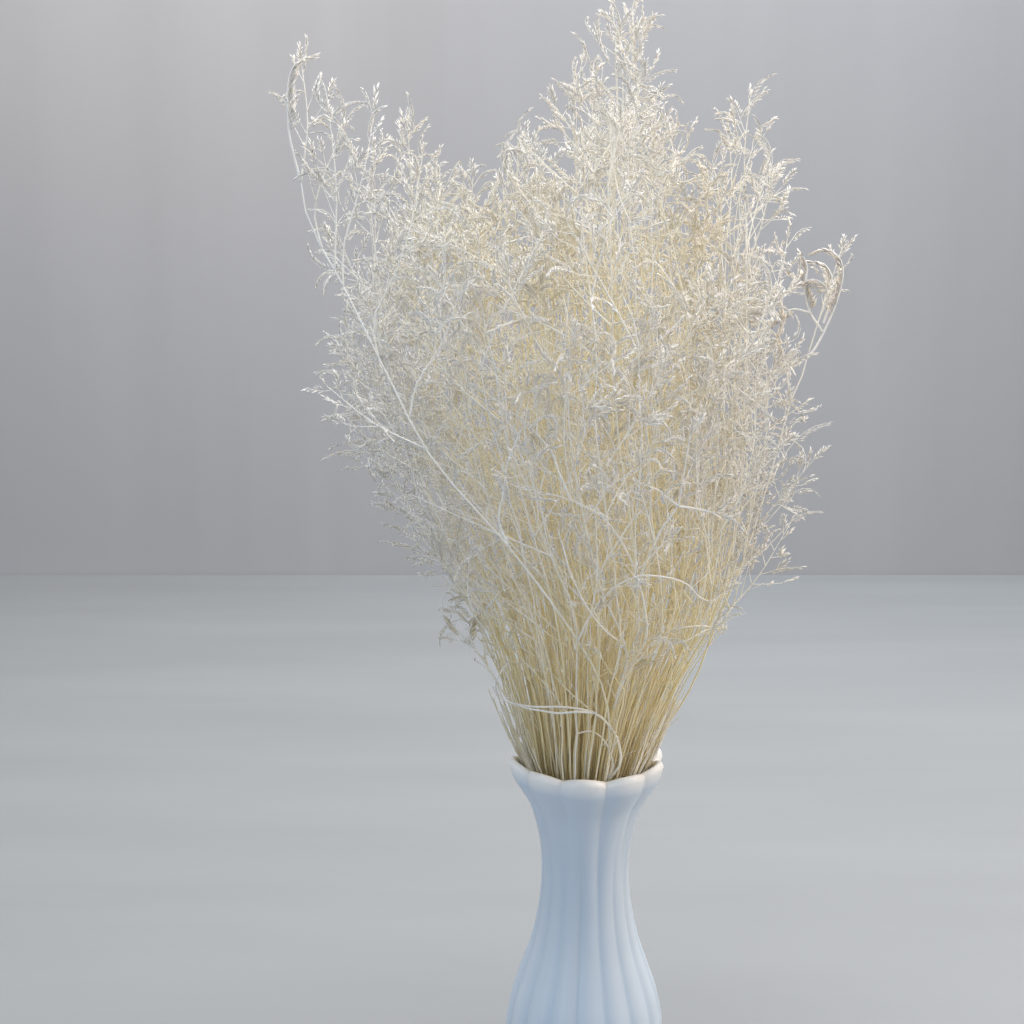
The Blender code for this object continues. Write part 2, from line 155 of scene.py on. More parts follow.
# Bunch, finer growth
SHOOTS = {  # kind: points on its path, radius at its root and at its tip, sides
    "stem": (22, 0.60, 0.30, 5),
    "bough": (34, 0.62, 0.30, 6),
    "companion": (30, 0.44, 0.23, 4),
    "inner": (12, 0.38, 0.24, 3),
    "arch": (24, 0.58, 0.30, 6),
    "limb": (20, 0.54, 0.27, 5),
    "lateral": (9, 0.36, 0.19, 4),
    "twig": (5, 0.22, 0.15, 3),
    "branchlet": (5, 0.30, 0.17, 3),
    "stalk": (4, 0.18, 0.10, 3),
}
REACH = (  # height, how far the bunch reaches from its middle
    (180, 26), (200, 37), (213, 43), (237, 58), (261, 71), (284, 83), (307, 93), (329, 103), (352, 102),
    (396, 102), (417, 103), (439, 102), (465, 97), (490, 66), (525, 28),
)
BACK_REACH = 0.97  # of that towards the back
OVER_TOP = 1.0  # how far fine growth may pass the skyline
RIGHT_REACH = (  # height, share of the reach towards the right
    (213, 1), (245, 0.88), (286, 0.82), (320, 0.88), (352, 1),
)
DETAIL_SEED, MORE_SEED, COMPANION_SEED, STRAY_SEED = 7000, 8000, 3000, 9000
COMPANIONS = 5  # thinner stems that part from each stem of the solids
COMPANION_SEEDS = 10  # from one stem to the next
COMPANION_SPREAD = (-0.22, 0.16)  # how far in or out of its stem, as a share of the fan
COMPANION_TURN = 0.5
COMPANION_DROP = (30, 130)
COMPANION_BEND = 3.5
COMPANION_BEND_HEIGHTS = (170, 280)
FORK_HEIGHTS = (30, 100)
COMPANION_FAN = (  # height, distance of the outermost thin stem from the middle
    (100, 15), (133, 14.6), (152, 17.2), (166, 21.4), (180, 28), (213, 38.8), (237, 50), (261, 61),
    (280, 70), (307, 79), (352, 88), (396, 91), (520, 92),
)
INNER_STEMS = 9  # short bare stems that fill the middle, beside each stem of the solids
INNER_FOOT = 100.0
INNER_TIPS = (215, 335)
INNER_AREA = 0.85  # share of the fan's area that they fill
INNER_TONE = 0.7
RIM_STEMS = 5  # short ones that lean out over the mouth, beside each stem of the solids
RIM_PATH = (  # height, distance from the axis
    (110, 14), (133, 14.8), (152, 18.2), (170, 23.4), (181, 28), (190.5, 33), (204, 39), (226, 48),
)
RIM_SHARES = (0.90, 1.02)
RIM_TIPS = (190, 226)
RIM_TURNS = (-0.9, 4)  # they lean every way but to the front
KINK = 0.7
KINK_HEIGHTS = (165, 215)  # from none to full
ARCHING = (0.2, 1)
SHAKING = 0.3
HAIRS = 3
HAIR_HEIGHTS = (186, 275)
HAIR_LENGTH = (6, 18)
HAIR_ANGLE = (14, 38)
EXTRA_LATERALS = 4
COMPANION_LATERALS = 3
LATERAL_TRIES = 8
LATERAL_LENGTH = (26, 66)
LATERAL_ANGLE = (22, 58)
LATERAL_LIFT = 0.006
LATERAL_BEND = 0.016
LATERAL_TIP = 4.0  # least distance below the stem's tip
LOWEST_LATERAL = (290, 212)  # height on the middle stems and on the outermost
DROOPING = 0.15
CROWD_SIZE = 11.0
TWIG_PITCH = 7.6
TWIG_PLACE = (0.2, 0.8)  # where a twig stands in its pitch
TWIGS_SPAN = (0.3, 0.98)  # where along a side branch its twigs begin and end
TWIG_CROWDING = 0.85  # below 1 they are closer together towards the end
TWIG_SPREAD = (28, 62)
TWIG_TURN = 1.0  # how far twigs are from opposite sides of the branch
TWIG_SHORTEST = 3.5
TWIGLESS = 1.02  # share of a branch where its twigs would be shortest
TWIG_SHARE = (0.25, 0.55)  # of the branch beyond it
TWIG_LIFT = 0.014
TWIG_BEND = 0.035
TWIG_LONGEST = 24.0
BARE_BLOOM = 0.05  # share of the twigs that flower low down and deep inside
FORKING = 0.55  # share of the bare twigs that fork
FORK_PLACES = (0.35, 0.65)
FORK_SPREAD = (30, 55)
FORK_LENGTH = 0.6
FREE_SPREAD = 0.5  # the boughs stand apart and have shorter twigs
LIMB_PITCH = 15.0
LIMB_PLACE = (0.3, 0.9)
LIMB_TWIGS = (6, 15)
LIMB_HEADS = 0.45  # share of a limb's twigs that flower
LIMB_SHORTER = 0.7  # length of those by the bare ones
SIDE_HEADS = (0.8, 0.58, 0.36)
SIDE_HEAD_SHARE = 0.34
SIDE_HEAD_SPREAD = (22, 42)
SIDE_HEAD_TURN = 0.6  # how far side heads are from opposite sides of the twig
HEADS_FROM = 6.0  # shorter twigs have no side heads
HEAD_RISE, SIDE_HEAD_RISE = 0.25, 0.2  # how much the heads turn up
BLOOM_OUTWARD = (0.35, 0.85)  # heads become common between these shares of the way out
BLOOM_DEPTH = (95, 40)  # and depths below the skyline
BLOOM_RISE = (235, 405)  # and heights
BLOOM_BESIDE = (0.5, 0.9)  # at the sides they are common lower down
BLOOM_BESIDE_RISE = (225, 300)
COMB_SHARE = 0.6  # of the heads; the others are slim tufts
COMB_FLORETS = (11, 18)
COMB_STEP = 0.8
COMB_TURN = (0.7, 2)  # how far a comb's axis curls over, in radians
COMB_LEAN = (62, 22)  # degrees from the axis at the root and at the tip
TUFT_FLORETS = (9, 15)
TUFT_STEP = 0.5
TUFT_LEAN = (30, 8)
TUFT_CURL = (-0.03, 0.03)
ROW_SPREAD = 0.26
FLORET_SIZE = (2.9, 4.4)
FLORET_SCALE = (0.8, 1.1)  # from floret to floret of a head
PAPERY_BREADTH = 1.9
PAPERY_STEP = 0.7
PAPERY_TONE = (0, 0.5)
LONG_COMB_SIZE = 5.6
LONG_COMB_STEP = 0.55
LONG_COMB_PART = 0.62  # share of a shoot, from its tip, that bears the comb
FLORET_BEND = 0.16
FLORET_WIDEST = (0.62, 0.36)  # place along a floret, half width there
FLORET_FLAT = 0.8  # thickness of a floret by its breadth
FLORET_SCATTER = 8.0
STRAYS = (  # number of the stem, height where the shoot leaves it if it does, kind, points
    (29, 183, "arch", (
        (13.2, -27, 192), (12.2, -31, 203.5), (7.5, -36, 213), (1, -42, 220.5), (-5.8, -44, 223),
        (-15.1, -43, 223.7), (-21.8, -41, 222.9), (-28.5, -36, 221.8), (-35.5, -29, 221.4),
        (-40.8, -22, 222), (-42, -23, 227), (-40.2, -28, 233.5), (-36, -34, 241))),
    (29, 0, "arch", (
        (1, -42, 220.5), (-6.6, -45, 222), (-15, -43.5, 220.9), (-21.8, -41.5, 221.4),
        (-28.5, -36.4, 221), (-34, -31, 221.6))),
    (29, 183, "arch", ((10, -27, 192), (6.9, -29, 202.5), (0.5, -32, 209), (-6.6, -34, 208.8))),
    (29, 256, "limb", (
        (-3.1, -64, 268), (1.4, -68, 275.4), (6.7, -70, 281.5), (15.3, -71, 285.8), (22.7, -69, 285.4),
        (30.3, -66, 283.6), (36.7, -61, 280.1), (41.8, -55, 274.3), (46.9, -49, 270.9),
        (50.7, -46, 270.7))),
    (29, 299, "limb", (
        (-39.7, -76, 309.1), (-37.7, -78, 320.8), (-36.5, -80, 331.2), (-33.8, -82, 338.3),
        (-30.8, -84, 345.5))),
    (21, 226, "limb", (
        (13.6, -49, 245.7), (11.8, -53, 254.4), (8, -58, 264.1), (3.5, -62, 273.3), (-0.2, -66, 284),
        (-3.8, -71, 296.2), (-6.5, -75, 308.8), (-9.6, -79, 324.2), (-11.7, -81, 336.7),
        (-12.9, -82, 346), (-13.5, -82, 358))),
    (21, 0, "limb", (
        (-0.2, -66, 284), (2.6, -71, 292.2), (6.9, -74, 299.9), (11.3, -76, 307.4), (15.8, -77, 313))),
    (21, 236, "limb", (
        (20.8, -54, 255.5), (19.4, -61, 269.8), (16.7, -66, 280.7), (12.8, -71, 291.4), (6.7, -76, 302.6),
        (1.7, -79, 309.4), (-3, -80, 312.6), (-7.6, -80, 315.4), (-12.3, -81, 317.4), (-16.9, -80, 318.8),
        (-21.9, -80, 320))),
    (21, 0, "limb", (
        (-12.3, -81, 317.4), (-14.8, -85, 324.1), (-17.2, -86, 329.5), (-19.9, -86, 337.1),
        (-23.3, -86, 340.9), (-27.3, -86, 345.3))),
    (21, 220, "limb", ((11.9, -44, 232.7), (15.6, -48, 242.5), (18.8, -51, 247.1), (23.7, -53, 254.5))),
    (21, 276, "limb", (
        (24.1, -72, 304.7), (29.9, -76, 314.4), (30.7, -78, 320.9), (32.1, -80, 332.7),
        (33.3, -81, 342.5))),
    (21, 0, "limb", ((29.9, -76, 314.4), (25.7, -78, 317.8), (21.5, -80, 321.2), (18.1, -81, 322.6))),
    (21, 0, "limb", ((29.9, -76, 314.4), (35.8, -73, 313.2), (43.5, -69, 311.1), (48.6, -65, 308.1))),
    (16, 236, "limb", ((33, -39, 249.2), (40.7, -37, 251.3), (49.3, -31, 254.2), (57.5, -21, 252.6))),
    (16, 243, "limb", ((32, -42, 256.5), (39.2, -41, 257.9), (47.9, -34, 256.7), (56.3, -23, 252.7))),
    (23, 200, "limb", (
        (-28.6, -7, 209.6), (-35.5, -6, 214.4), (-41, -6, 222.9), (-46.5, -6, 232.3), (-51, -6, 237.9),
        (-58.2, -6, 244.4), (-63.6, -6, 249.1), (-65.9, -6, 255.6), (-66.3, -6, 261.1),
        (-64.4, -6, 265.7), (-59.9, -6, 267.6))),
    (23, 0, "limb", (
        (-41, -6, 222.9), (-45.6, -4, 229.8), (-47.4, -4, 238.3), (-48.3, -4, 247.7), (-51.9, -4, 259.7),
        (-56.4, -4, 267.2), (-61.7, -4, 275.5), (-66.2, -4, 282.8), (-69.8, -4, 289))),
    (28, 203, "limb", (
        (-28.9, 7, 211), (-32.7, 4, 222.9), (-35.5, 4, 231.5), (-40.2, 4, 240), (-44.8, 4, 249.5),
        (-48.4, 4, 258.9), (-53.9, 4, 268.3), (-60.3, 4, 278.6), (-67.6, 4, 284.2))),
    (23, 0, "papery", ((-56, -6, 242.2), (-57.6, -7, 245.8), (-60, -7, 249.1), (-62.4, -7, 251.9))),
    (23, 0, "papery", ((-51, -6, 237.9), (-53.1, -7, 243.5), (-54, -7, 247.2), (-52.7, -7, 251.2))),
    (29, 398, "spray", ((-97, -85, 412), (-92, -82, 430), (-88, -79, 447), (-86, -77, 462))),
    (29, 372, "spray", ((-86, -88, 385), (-78, -86, 402), (-72, -84, 420), (-69, -82, 438))),
    (29, 412, "spray", ((-108, -81, 424), (-106, -78, 436), (-101, -76, 448), (-97, -75, 458))),
    (29, 350, "spray", ((-70, -91, 362), (-60, -90, 378), (-54, -88, 396))),
    (29, 437, "comb", (
        (-116.2, -75.5, 447), (-117.8, -74.5, 454), (-118.2, -74, 461), (-118.3, -73.5, 468),
        (-117.5, -73, 475), (-115, -73, 480), (-110.5, -73, 482.5))),
    (30, 370, "papery", (
        (100.5, -1, 376), (105, 0, 385), (108.5, 0, 394), (111, 0, 404.5), (110.6, 0, 412),
        (107, 0, 416.5), (103, 0, 418), (99.5, 0, 417.5))),
    (30, 0, "papery", (
        (108.5, 0, 394), (106.5, 2, 399), (103.5, 3, 403), (99.5, 3, 405), (96.5, 3, 404.5))),
    (30, 0, "papery", (
        (103.8, 2, 385.8), (107.4, 3, 397.5), (107.3, 4, 406.3), (104.4, 5, 411.5), (100.6, 6, 413))),
    (30, 0, "papery", (
        (103.2, 0, 382.1), (98, 2, 390.2), (95.8, 3, 397.6), (94.3, 4, 403.4), (90.7, 5, 407.1))),
    (30, 0, "papery", ((95.8, 3, 397.6), (95.6, 3, 404.8), (96.4, 4, 409.9), (94.7, 5, 415.1))),
    (30, 0, "papery", (
        (98, 2, 390.2), (93.6, 2, 391.6), (89.3, 2, 391.8), (85.1, 3, 389.5), (81.7, 4, 386.4))),
    (30, 352, "papery", (
        (87.5, 0, 366), (84.6, 2, 379), (85.2, 3, 388), (84.2, 4, 395), (80.6, 5, 398.6))),
    (30, 0, "papery", ((84.6, 2, 379), (77, 3, 386), (70, 3, 389.5), (64.3, 3, 388.1), (60.1, 3, 384.4))),
    (30, 0, "papery", ((85.2, 3, 388), (80, 6, 394), (74, 8, 397), (69, 9, 396))),
)

# Colours
WHITE = (0.97, 0.96, 0.95)  # the palest shoots and florets
CREAM = (0.95, 0.92, 0.84)  # the warmest shoots
BEIGE = (0.95, 0.88, 0.79)  # the warmest florets
PEACH = (1, 0.90, 0.80)  # papery florets
# Painted glow: the gold, and partly the straw, stand in for light that passes through the bunch and glows
# inside it
PAINTED_GLOW = (0.95, 0.80, 0.44)  # painted glow: gold painted deep in the bunch, for light that passes through it
STRAW_AND_GLOW = (0.88, 0.73, 0.41)  # low on the stems: partly their own straw colour, partly painted glow of light through the bunch
GOLDEN = 0.2  # share of their own colour left under the painted glow deep in the bunch
STRAW_AND_GLOW_SHARE = 0.95
STRAW_AND_GLOW_FADING = 0.4  # towards the outside of the bunch
STRAW_AND_GLOW_HEIGHTS = (190, 320)
PALE_HEIGHTS = (370, 470)  # above the second nothing takes the painted glow
DEEP_HEIGHTS = (230, 340)  # below the first more of the bunch takes the painted glow
SKIN = ((0.30, 0.42), (0.88, 0.12))  # outwardness where the painted glow starts to fade and ends, added low down
PALEST = 0.8  # how much less painted glow and straw the palest shoots take
PALE_TONES = (0.4, 1)
FLORET_PALENESS = 0.6  # by that of a shoot
GROOVE_SHADE = (0.84, 0.89, 0.94)  # painted shade: blue-grey darkening in the grooves between the ribs
GROOVE_SHADE_SHARE = 0.6
RIGHT_TO_LEFT = (70, -60)  # where shoots turn whiter
TO_THE_TOP = (420, 490)  # where they turn creamier
TONES = (0.24, 0.55, 0.4, 0.3)  # at the right, added at the left, taken at the top, give or take
WHITENESS = (0.6, 0.6)  # how much a floret's tip and its tone whiten it

# Stage, light and camera
CAMERA_PLACE = (-0.0346, -0.538, 0.377)
CAMERA_TILT = 82.0
CAMERA_LENS = 42.19
STAGE_SIZE = (4, -1.5, 1.40, 3)  # half width, near edge, far edge, height of the backdrop
BACKDROP_GAP = 0.05  # between the table and the backdrop behind it
BACKDROP_FOOT = -0.8
TABLE_GRAIN = (0.5, 3, 1)
WALL_GRAIN = (2, 1, 0.15)
GRAIN_SHADE = 0.93  # how dark the grain is
TABLE_COLOUR = (0.285, 0.297, 0.31)
WALL_COLOUR = (0.385, 0.388, 0.41)
ROOM_COLOUR = (0.89, 0.94, 1)
ROOM_STRENGTH = 0.47
LIGHTS = (  # name, place, what it points at, size, power, colour
    ("key", (-0.1, 0.2, 1.9), (0.0, 0.0, 0.3), 1.8, 38.5, (1.0, 0.97, 0.92)),
    ("side", (1.2, -0.15, 0.75), (0.0, 0.0, 0.3), 0.8, 10.0, (1.0, 0.86, 0.72)),
    ("fill", (-1.1, -1.3, 0.5), (0.0, 0.0, 0.3), 0.9, 5.0, (0.62, 0.80, 1.0)),
    ("window", (0.8, 1.3, 1.8), (0.7, 0.75, 0.0), 0.8, 22.0, (0.80, 0.90, 1.0)),
    ("glow", (-0.7, 0.8, 1.3), (-0.7, 1.45, 1.0), 0.6, 2.4, (1.0, 0.88, 0.76)),
)


def along(table, place):
    """The value at a place in a table of (place, value) rows, on a smooth curve through them."""
    if place <= table[0][0]:
        return table[0][1]
    if place >= table[-1][0]:
        return table[-1][1]
    last = len(table) - 1
    k = next(i for i in range(last) if place <= table[i + 1][0])
    (x0, y0), (x1, y1) = table[k], table[k + 1]
    slope = (y1 - y0) / (x1 - x0)
    slopes = []
    for i in (k, k + 1):
        if 0 < i < last:
            (xa, ya), (xb, yb) = table[i - 1], table[i + 1]
            slopes.append((yb - ya) / (xb - xa))
        else:
            slopes.append(slope)
    width = x1 - x0
    t = (place - x0) / width
    rise = y0 * (2 * t**3 - 3 * t**2 + 1) + y1 * (3 * t**2 - 2 * t**3)
    return rise + width * (slopes[0] * (t**3 - 2 * t**2 + t) + slopes[1] * (t**3 - t**2))


def share_between(values, low, high):
    """How far a value, or each of many, is from low to high, as a smooth share from 0 to 1."""
    t = np.clip((values - low) / (high - low), 0.0, 1.0)
    return t * t * (3.0 - 2.0 * t)


def perpendiculars(axis):
    """Two unit vectors square to the axis and to each other."""
    side = axis.cross(UP)
    if side.length < 0.05:
        side = axis.cross(Vector((1.0, 0.0, 0.0)))
    side.normalize()
    return side, side.cross(axis).normalized()


def sideways(axis, around):
    """The unit vector square to the axis that a turn names."""
    side, over = perpendiculars(axis)
    return side * math.cos(around) + over * math.sin(around)


def turned(heading, spread, rng, around=None):
    """A heading leant over by degrees within a spread, to the side that a turn names or to any side."""
    angle = math.radians(rng.uniform(*spread))
    if around is None:
        around = rng.uniform(0.0, math.tau)
    return (heading * math.cos(angle) + sideways(heading, around) * math.sin(angle)).normalized()


# Growth: where the stems and the side sprays run


def skyline_height(x, y):
    """Height of the bunch's top over a point of the plan."""
    drop, depth = SHOULDER
    return along(SKYLINE, x) - drop * (y / depth) ** 2


def stations(tip):
    """The heights at which a stem with its tip at a height is placed."""
    return [*(height for height in STEM_STATIONS if height < tip - LAST_RUN), tip]


def stem_tip(across, deep, drop, rng):
    """Height of a stem's tip: that of the skyline where the stem would end, less a random drop."""
    widest = FAN[-1][1]
    return skyline_height(along(MIDDLE, MIDDLE_TOP) + across * widest, deep * widest) - rng.uniform(*drop)


def fanned(heights, across, deep, fan, bend, rng):
    """A stem's points at heights: where the fan takes them, moved at random by up to the bend there."""
    points = []
    for height in heights:
        reach, size = along(fan, height), bend(height)
        x = along(MIDDLE, height) + across * reach + rng.uniform(-size, size)
        y = deep * reach + rng.uniform(-size, size)
        points.append(Vector((x, y, height)))
    return points


def stem_bend(height):
    straight, bent = BEND_HEIGHTS
    return BEND_SIZE * min(1.0, max(0.0, (height - straight) / (bent - straight)))


def stem_points(index):
    """A stem's centreline, from the vase's floor to its tip. All stems share the fan, so none cross."""
    rng = random.Random(STEM_SEED + index)
    share = math.sqrt((index + INNERMOST) / STEM_COUNT)
    turn = FIRST_TURN + index * TURN
    across, deep = share * math.cos(turn), share * math.sin(turn)
    heights = [STEM_FOOT, *stations(stem_tip(across, deep, TIP_DROP, rng))]
    return fanned(heights, across, deep, FAN, stem_bend, rng)


def place_on(points, height):
    """The point of a centreline at a height, and its heading there."""
    for a, b in zip(points, points[1:]):
        if a.z <= height <= b.z:
            return a.lerp(b, (height - a.z) / (b.z - a.z)), (b - a).normalized()
    return points[-1].copy(), (points[-1] - points[-2]).normalized()


def polar(length, angle):
    return Vector((length * math.cos(angle), length * math.sin(angle)))


def shoot(root, heading, length, side=0):
    """A straight shoot in a side spray's own plane, with the smaller shoots that leave it."""
    return {
        "root": root,
        "heading": heading,
        "tip": root + polar(length, heading),
        "side": side,
        "shoots": [],
    }


def branch(parent, distance, side, angle, length):
    """Adds a smaller shoot to a shoot, on its left (1) or right (-1), and returns it."""
    root = parent["root"] + polar(distance, parent["heading"])
    child = shoot(root, parent["heading"] + side * angle, length, side)
    parent["shoots"].append(child)
    return child


def spray_runs(length, rng):
    """A side spray as the two straight runs of its rib, with its twigs and florets on them."""
    lower = shoot(Vector((0.0, 0.0)), 0.0, 0.5 * length)
    upper = shoot(lower["tip"], RIB_KINK, 0.5 * length)
    for share, side in TWIG_PLACES:
        run, start = (lower, 0.0) if share < 0.5 else (upper, 0.5)
        angle = math.radians(rng.uniform(*TWIG_ANGLE))
        reach = length * (TWIG_TAPER - share) * rng.uniform(*TWIG_REACH)
        twig = branch(run, (share - start) * length, side, angle, reach)
        if run is lower:
            branch(twig, TWIG_FLORET * reach, side, FLORET_ANGLE, FLORET_LENGTH)
    first = 0.5 * length - FLORET_PITCH * (RIB_FLORETS + 0.5)
    for k in range(RIB_FLORETS):
        branch(upper, first + FLORET_PITCH * k, 1, FLORET_ANGLE, FLORET_LENGTH)
    return [lower, upper]


def lines_of(shoots):
    """The lines that shoots fill, as pairs of points in the spray's own plane."""
    lines = []
    for each in shoots:
        lines.append((each["root"], each["tip"]))
        lines += lines_of(each["shoots"])
    return lines


class Air:
    """Where the bunch already is, as points about a millimetre apart in a grid of cells."""

    def __init__(self):
        self.cells = {}

    def cell(self, point):
        return tuple(math.floor(c / SPACING) for c in point)

    def fill(self, points, owner):
        for point in points:
            self.cells.setdefault(self.cell(point), []).append((point, owner))

    def is_free(self, points, owner, root):
        """True if no point is near another stem's, or near its own stem's away from the root."""
        for point in points:
            x, y, z = self.cell(point)
            near_root = (point - root).length < NEAR_ROOT
            for i in (x - 1, x, x + 1):
                for j in (y - 1, y, y + 1):
                    for k in (z - 1, z, z + 1):
                        for other, whose in self.cells.get((i, j, k), ()):
                            if whose == owner and near_root:
                                continue
                            if (point - other).length < SPACING:
                                return False
        return True


def points_between(a, b):
    count = max(1, math.ceil((b - a).length))
    return [a.lerp(b, i / count) for i in range(count + 1)]


def from_middle(point):
    """How far a point is from the middle of the bunch at its height."""
    return math.hypot(point.x - along(MIDDLE, point.z), point.y)


def inside_bunch(points):
    """True if no point leaves the bunch's outline."""
    for p in points:
        if from_middle(p) > along(ENVELOPE, p.z) or p.z < ENVELOPE[0][0]:
            return False
        if p.z > skyline_height(p.x, p.y) + ABOVE_SKYLINE:
            return False
    return True


def grow_side_spray(air, owner, root, stem_heading, turn, rng, lengths, angles):
    """A side spray at a point of a stem: the first try that stays clear of the other stems."""
    for attempt in range(TRIES):
        around = turn + rng.uniform(-1.0, 1.0) * (FIRST_SWING + TRY_TURN * attempt)
        heading = turned(stem_heading, angles, rng, around)
        length = rng.uniform(*lengths) * (1.0 - TRY_SHRINK * attempt)
        lift = (stem_heading - heading * stem_heading.dot(heading)).normalized()
        roll = rng.uniform(-ROLL, ROLL)
        lift = lift * math.cos(roll) + heading.cross(lift) * math.sin(roll)
        runs = spray_runs(length, rng)
        points = []
        for a, b in lines_of(runs):
            first = root + heading * a.x + lift * a.y
            points += points_between(first, root + heading * b.x + lift * b.y)
        if owner < STEM_COUNT and not inside_bunch(points):
            continue
        if air.is_free(points, owner, root):
            air.fill(points, owner)
            return {"root": root, "heading": heading, "lift": lift, "runs": runs}
    return None


def grow_bunch():
    """Every stem as {"points", "sprays"}: first all the stems, then the side sprays, in turn."""
    stems = [stem_points(i) for i in range(STEM_COUNT)]
    stems += [[Vector(p) for p in bough] for bough in BOUGHS]
    air = Air()
    for owner, points in enumerate(stems):
        for a, b in zip(points, points[1:]):
            air.fill(points_between(a, b), owner)
    bunch = [{"points": points, "sprays": []} for points in stems]
    for owner, points in enumerate(stems):
        rng = random.Random(END_SEED + owner)
        heading = (points[-1] - points[-2]).normalized()
        root = points[-1] - heading * SUNK
        grown = grow_side_spray(air, owner, root, heading, 0.0, rng, END_LENGTH, END_ANGLE)
        if grown:
            bunch[owner]["sprays"].append(grown)
    for level in range(SIDE_SPRAYS):
        for owner, points in enumerate(stems):
            rng = random.Random(SIDE_SEED + LEVEL_SEEDS * owner + level)
            lean = from_middle(points[-1]) / FAN[-1][1]
            lowest = LOWEST_SPRAY[0] + (LOWEST_SPRAY[1] - LOWEST_SPRAY[0]) * lean
            share = (level + rng.uniform(*LEVEL_SHARE)) / SIDE_SPRAYS
            height = lowest + share * (points[-1].z - BARE_END - lowest)
            root, heading = place_on(points, height)
            turn = LEVEL_TURN * level + owner
            grown = grow_side_spray(air, owner, root, heading, turn, rng, SPRAY_LENGTH, SPRAY_ANGLE)
            if grown:
                bunch[owner]["sprays"].append(grown)
    return bunch


# Finer growth: what each stem carries that is too fine for the solids


class Bundle:
    """What one piece of the bunch is made of: its round shoots by kind, and its florets."""

    def __init__(self):
        self.shoots = {kind: [] for kind in SHOOTS}
        self.florets = []

    def add(self, kind, path, tone):
        self.shoots[kind].append((path, tone))


def smooth_path(points, count):
    """A path through the points at even steps, on a smooth curve."""
    places = [0.0]
    for a, b in zip(points, points[1:]):
        places.append(places[-1] + (b - a).length)
    tables = [[(place, point[axis]) for place, point in zip(places, points)] for axis in range(3)]
    steps = [places[-1] * k / (count - 1) for k in range(count)]
    return [Vector([along(table, step) for table in tables]) for step in steps]


def path_length(path):
    return sum((b - a).length for a, b in zip(path, path[1:]))


def on_path(path, share):
    """The point at a share of a path of even steps, and the heading there."""
    place = share * (len(path) - 1)
    k = min(int(place), len(path) - 2)
    return path[k].lerp(path[k + 1], place - k), (path[k + 1] - path[k]).normalized()


def random_direction(rng):
    return Vector([rng.gauss(0.0, 1.0) for _ in range(3)]).normalized()


def grown_path(root, heading, length, count, rng, lift, bend):
    """A path that starts on a heading, arches one way, and turns up, or down where lift is negative."""
    step = length / (count - 1)
    arch = random_direction(rng) * rng.uniform(*ARCHING) * bend
    path = [root.copy()]
    for _ in range(count - 1):
        shake = random_direction(rng) * SHAKING * bend
        heading = (heading + (arch + shake + UP * lift) * step).normalized()
        path.append(path[-1] + heading * step)
    return path


def twig_path(root, heading, length, rng):
    return grown_path(root, heading, length, SHOOTS["twig"][0], rng, TWIG_LIFT, TWIG_BEND)


def add_floret(bundle, point, axis, out, lean, bend, rng, tone, size, breadth=1.0):
    """One floret on an axis, leant from it towards a side by some degrees."""
    angle = math.radians(lean + rng.uniform(-FLORET_SCATTER, FLORET_SCATTER))
    row = axis.cross(out) * rng.uniform(-ROW_SPREAD, ROW_SPREAD)
    aim = (axis * math.cos(angle) + out * math.sin(angle) + row).normalized()
    bundle.florets.append((point.copy(), aim, bend, size * rng.uniform(*FLORET_SCALE), tone, breadth))


def add_head(bundle, root, heading, rng, tone):
    """A head of florets on a thin axis: a one-sided comb that curls over, or a slim tuft."""
    out = sideways(heading, rng.uniform(0.0, math.tau))
    is_comb = rng.random() < COMB_SHARE
    count = rng.randint(*(COMB_FLORETS if is_comb else TUFT_FLORETS))
    step = COMB_STEP if is_comb else TUFT_STEP
    lean = COMB_LEAN if is_comb else TUFT_LEAN
    curl = rng.uniform(*COMB_TURN) / count if is_comb else rng.uniform(*TUFT_CURL)
    size = rng.uniform(*FLORET_SIZE)
    point, axis = root.copy(), heading.copy()
    path = [point.copy()]
    for k in range(count):
        leant = lean[0] + (lean[1] - lean[0]) * k / count
        facing_out = out if is_comb or k % 2 else -out
        bend = axis if is_comb else facing_out
        add_floret(bundle, point, axis, facing_out, leant, bend, rng, tone, size)
        axis = (axis + out * curl).normalized()
        out = (out - axis * out.dot(axis)).normalized()
        point = point + axis * step
        path.append(point.copy())
    add_floret(bundle, point, axis, out, 0.0, out, rng, tone, size)
    bundle.add("stalk", smooth_path(path, SHOOTS["stalk"][0]), tone)


def add_long_comb(bundle, path, rng, tone, step, breadth):
    """Florets along the hollow side of a bent shoot, over the part of it that ends at its tip."""
    hollow = (path[0] + path[-1]) * 0.5 - path[len(path) // 2]
    count = round(path_length(path) * LONG_COMB_PART / step)
    for k in range(count):
        place = k / (count - 1)
        point, axis = on_path(path, 1.0 - LONG_COMB_PART + LONG_COMB_PART * place)
        out = (hollow - axis * hollow.dot(axis)).normalized()
        lean = COMB_LEAN[0] + (COMB_LEAN[1] - COMB_LEAN[0]) * place
        add_floret(bundle, point, axis, out, lean, axis, rng, tone, LONG_COMB_SIZE, breadth)


def outwardness(point):
    """0 in the middle of the bunch, and 1 on its outline at that height."""
    deep = point.y / BACK_REACH if point.y > 0.0 else point.y
    across = point.x - along(MIDDLE, point.z)
    if across > 0.0:
        across /= along(RIGHT_REACH, point.z)
    return math.hypot(across, deep) / along(REACH, point.z)


def is_outside(point):
    return outwardness(point) > 1.0 or point.z > skyline_height(point.x, point.y) + OVER_TOP


def bloom(point):
    """The share of twigs that flower at a point: all at the top, fewer low down and deep inside."""
    outward = share_between(outwardness(point), *BLOOM_OUTWARD)
    top = share_between(skyline_height(point.x, point.y) - point.z, *BLOOM_DEPTH)
    rise = share_between(point.z, *BLOOM_RISE)
    beside = abs(point.x - along(MIDDLE, point.z)) / along(REACH, point.z)
    edge = share_between(beside, *BLOOM_BESIDE) * share_between(point.z, *BLOOM_BESIDE_RISE)
    return BARE_BLOOM + (1.0 - BARE_BLOOM) * max(top, outward * rise, edge)


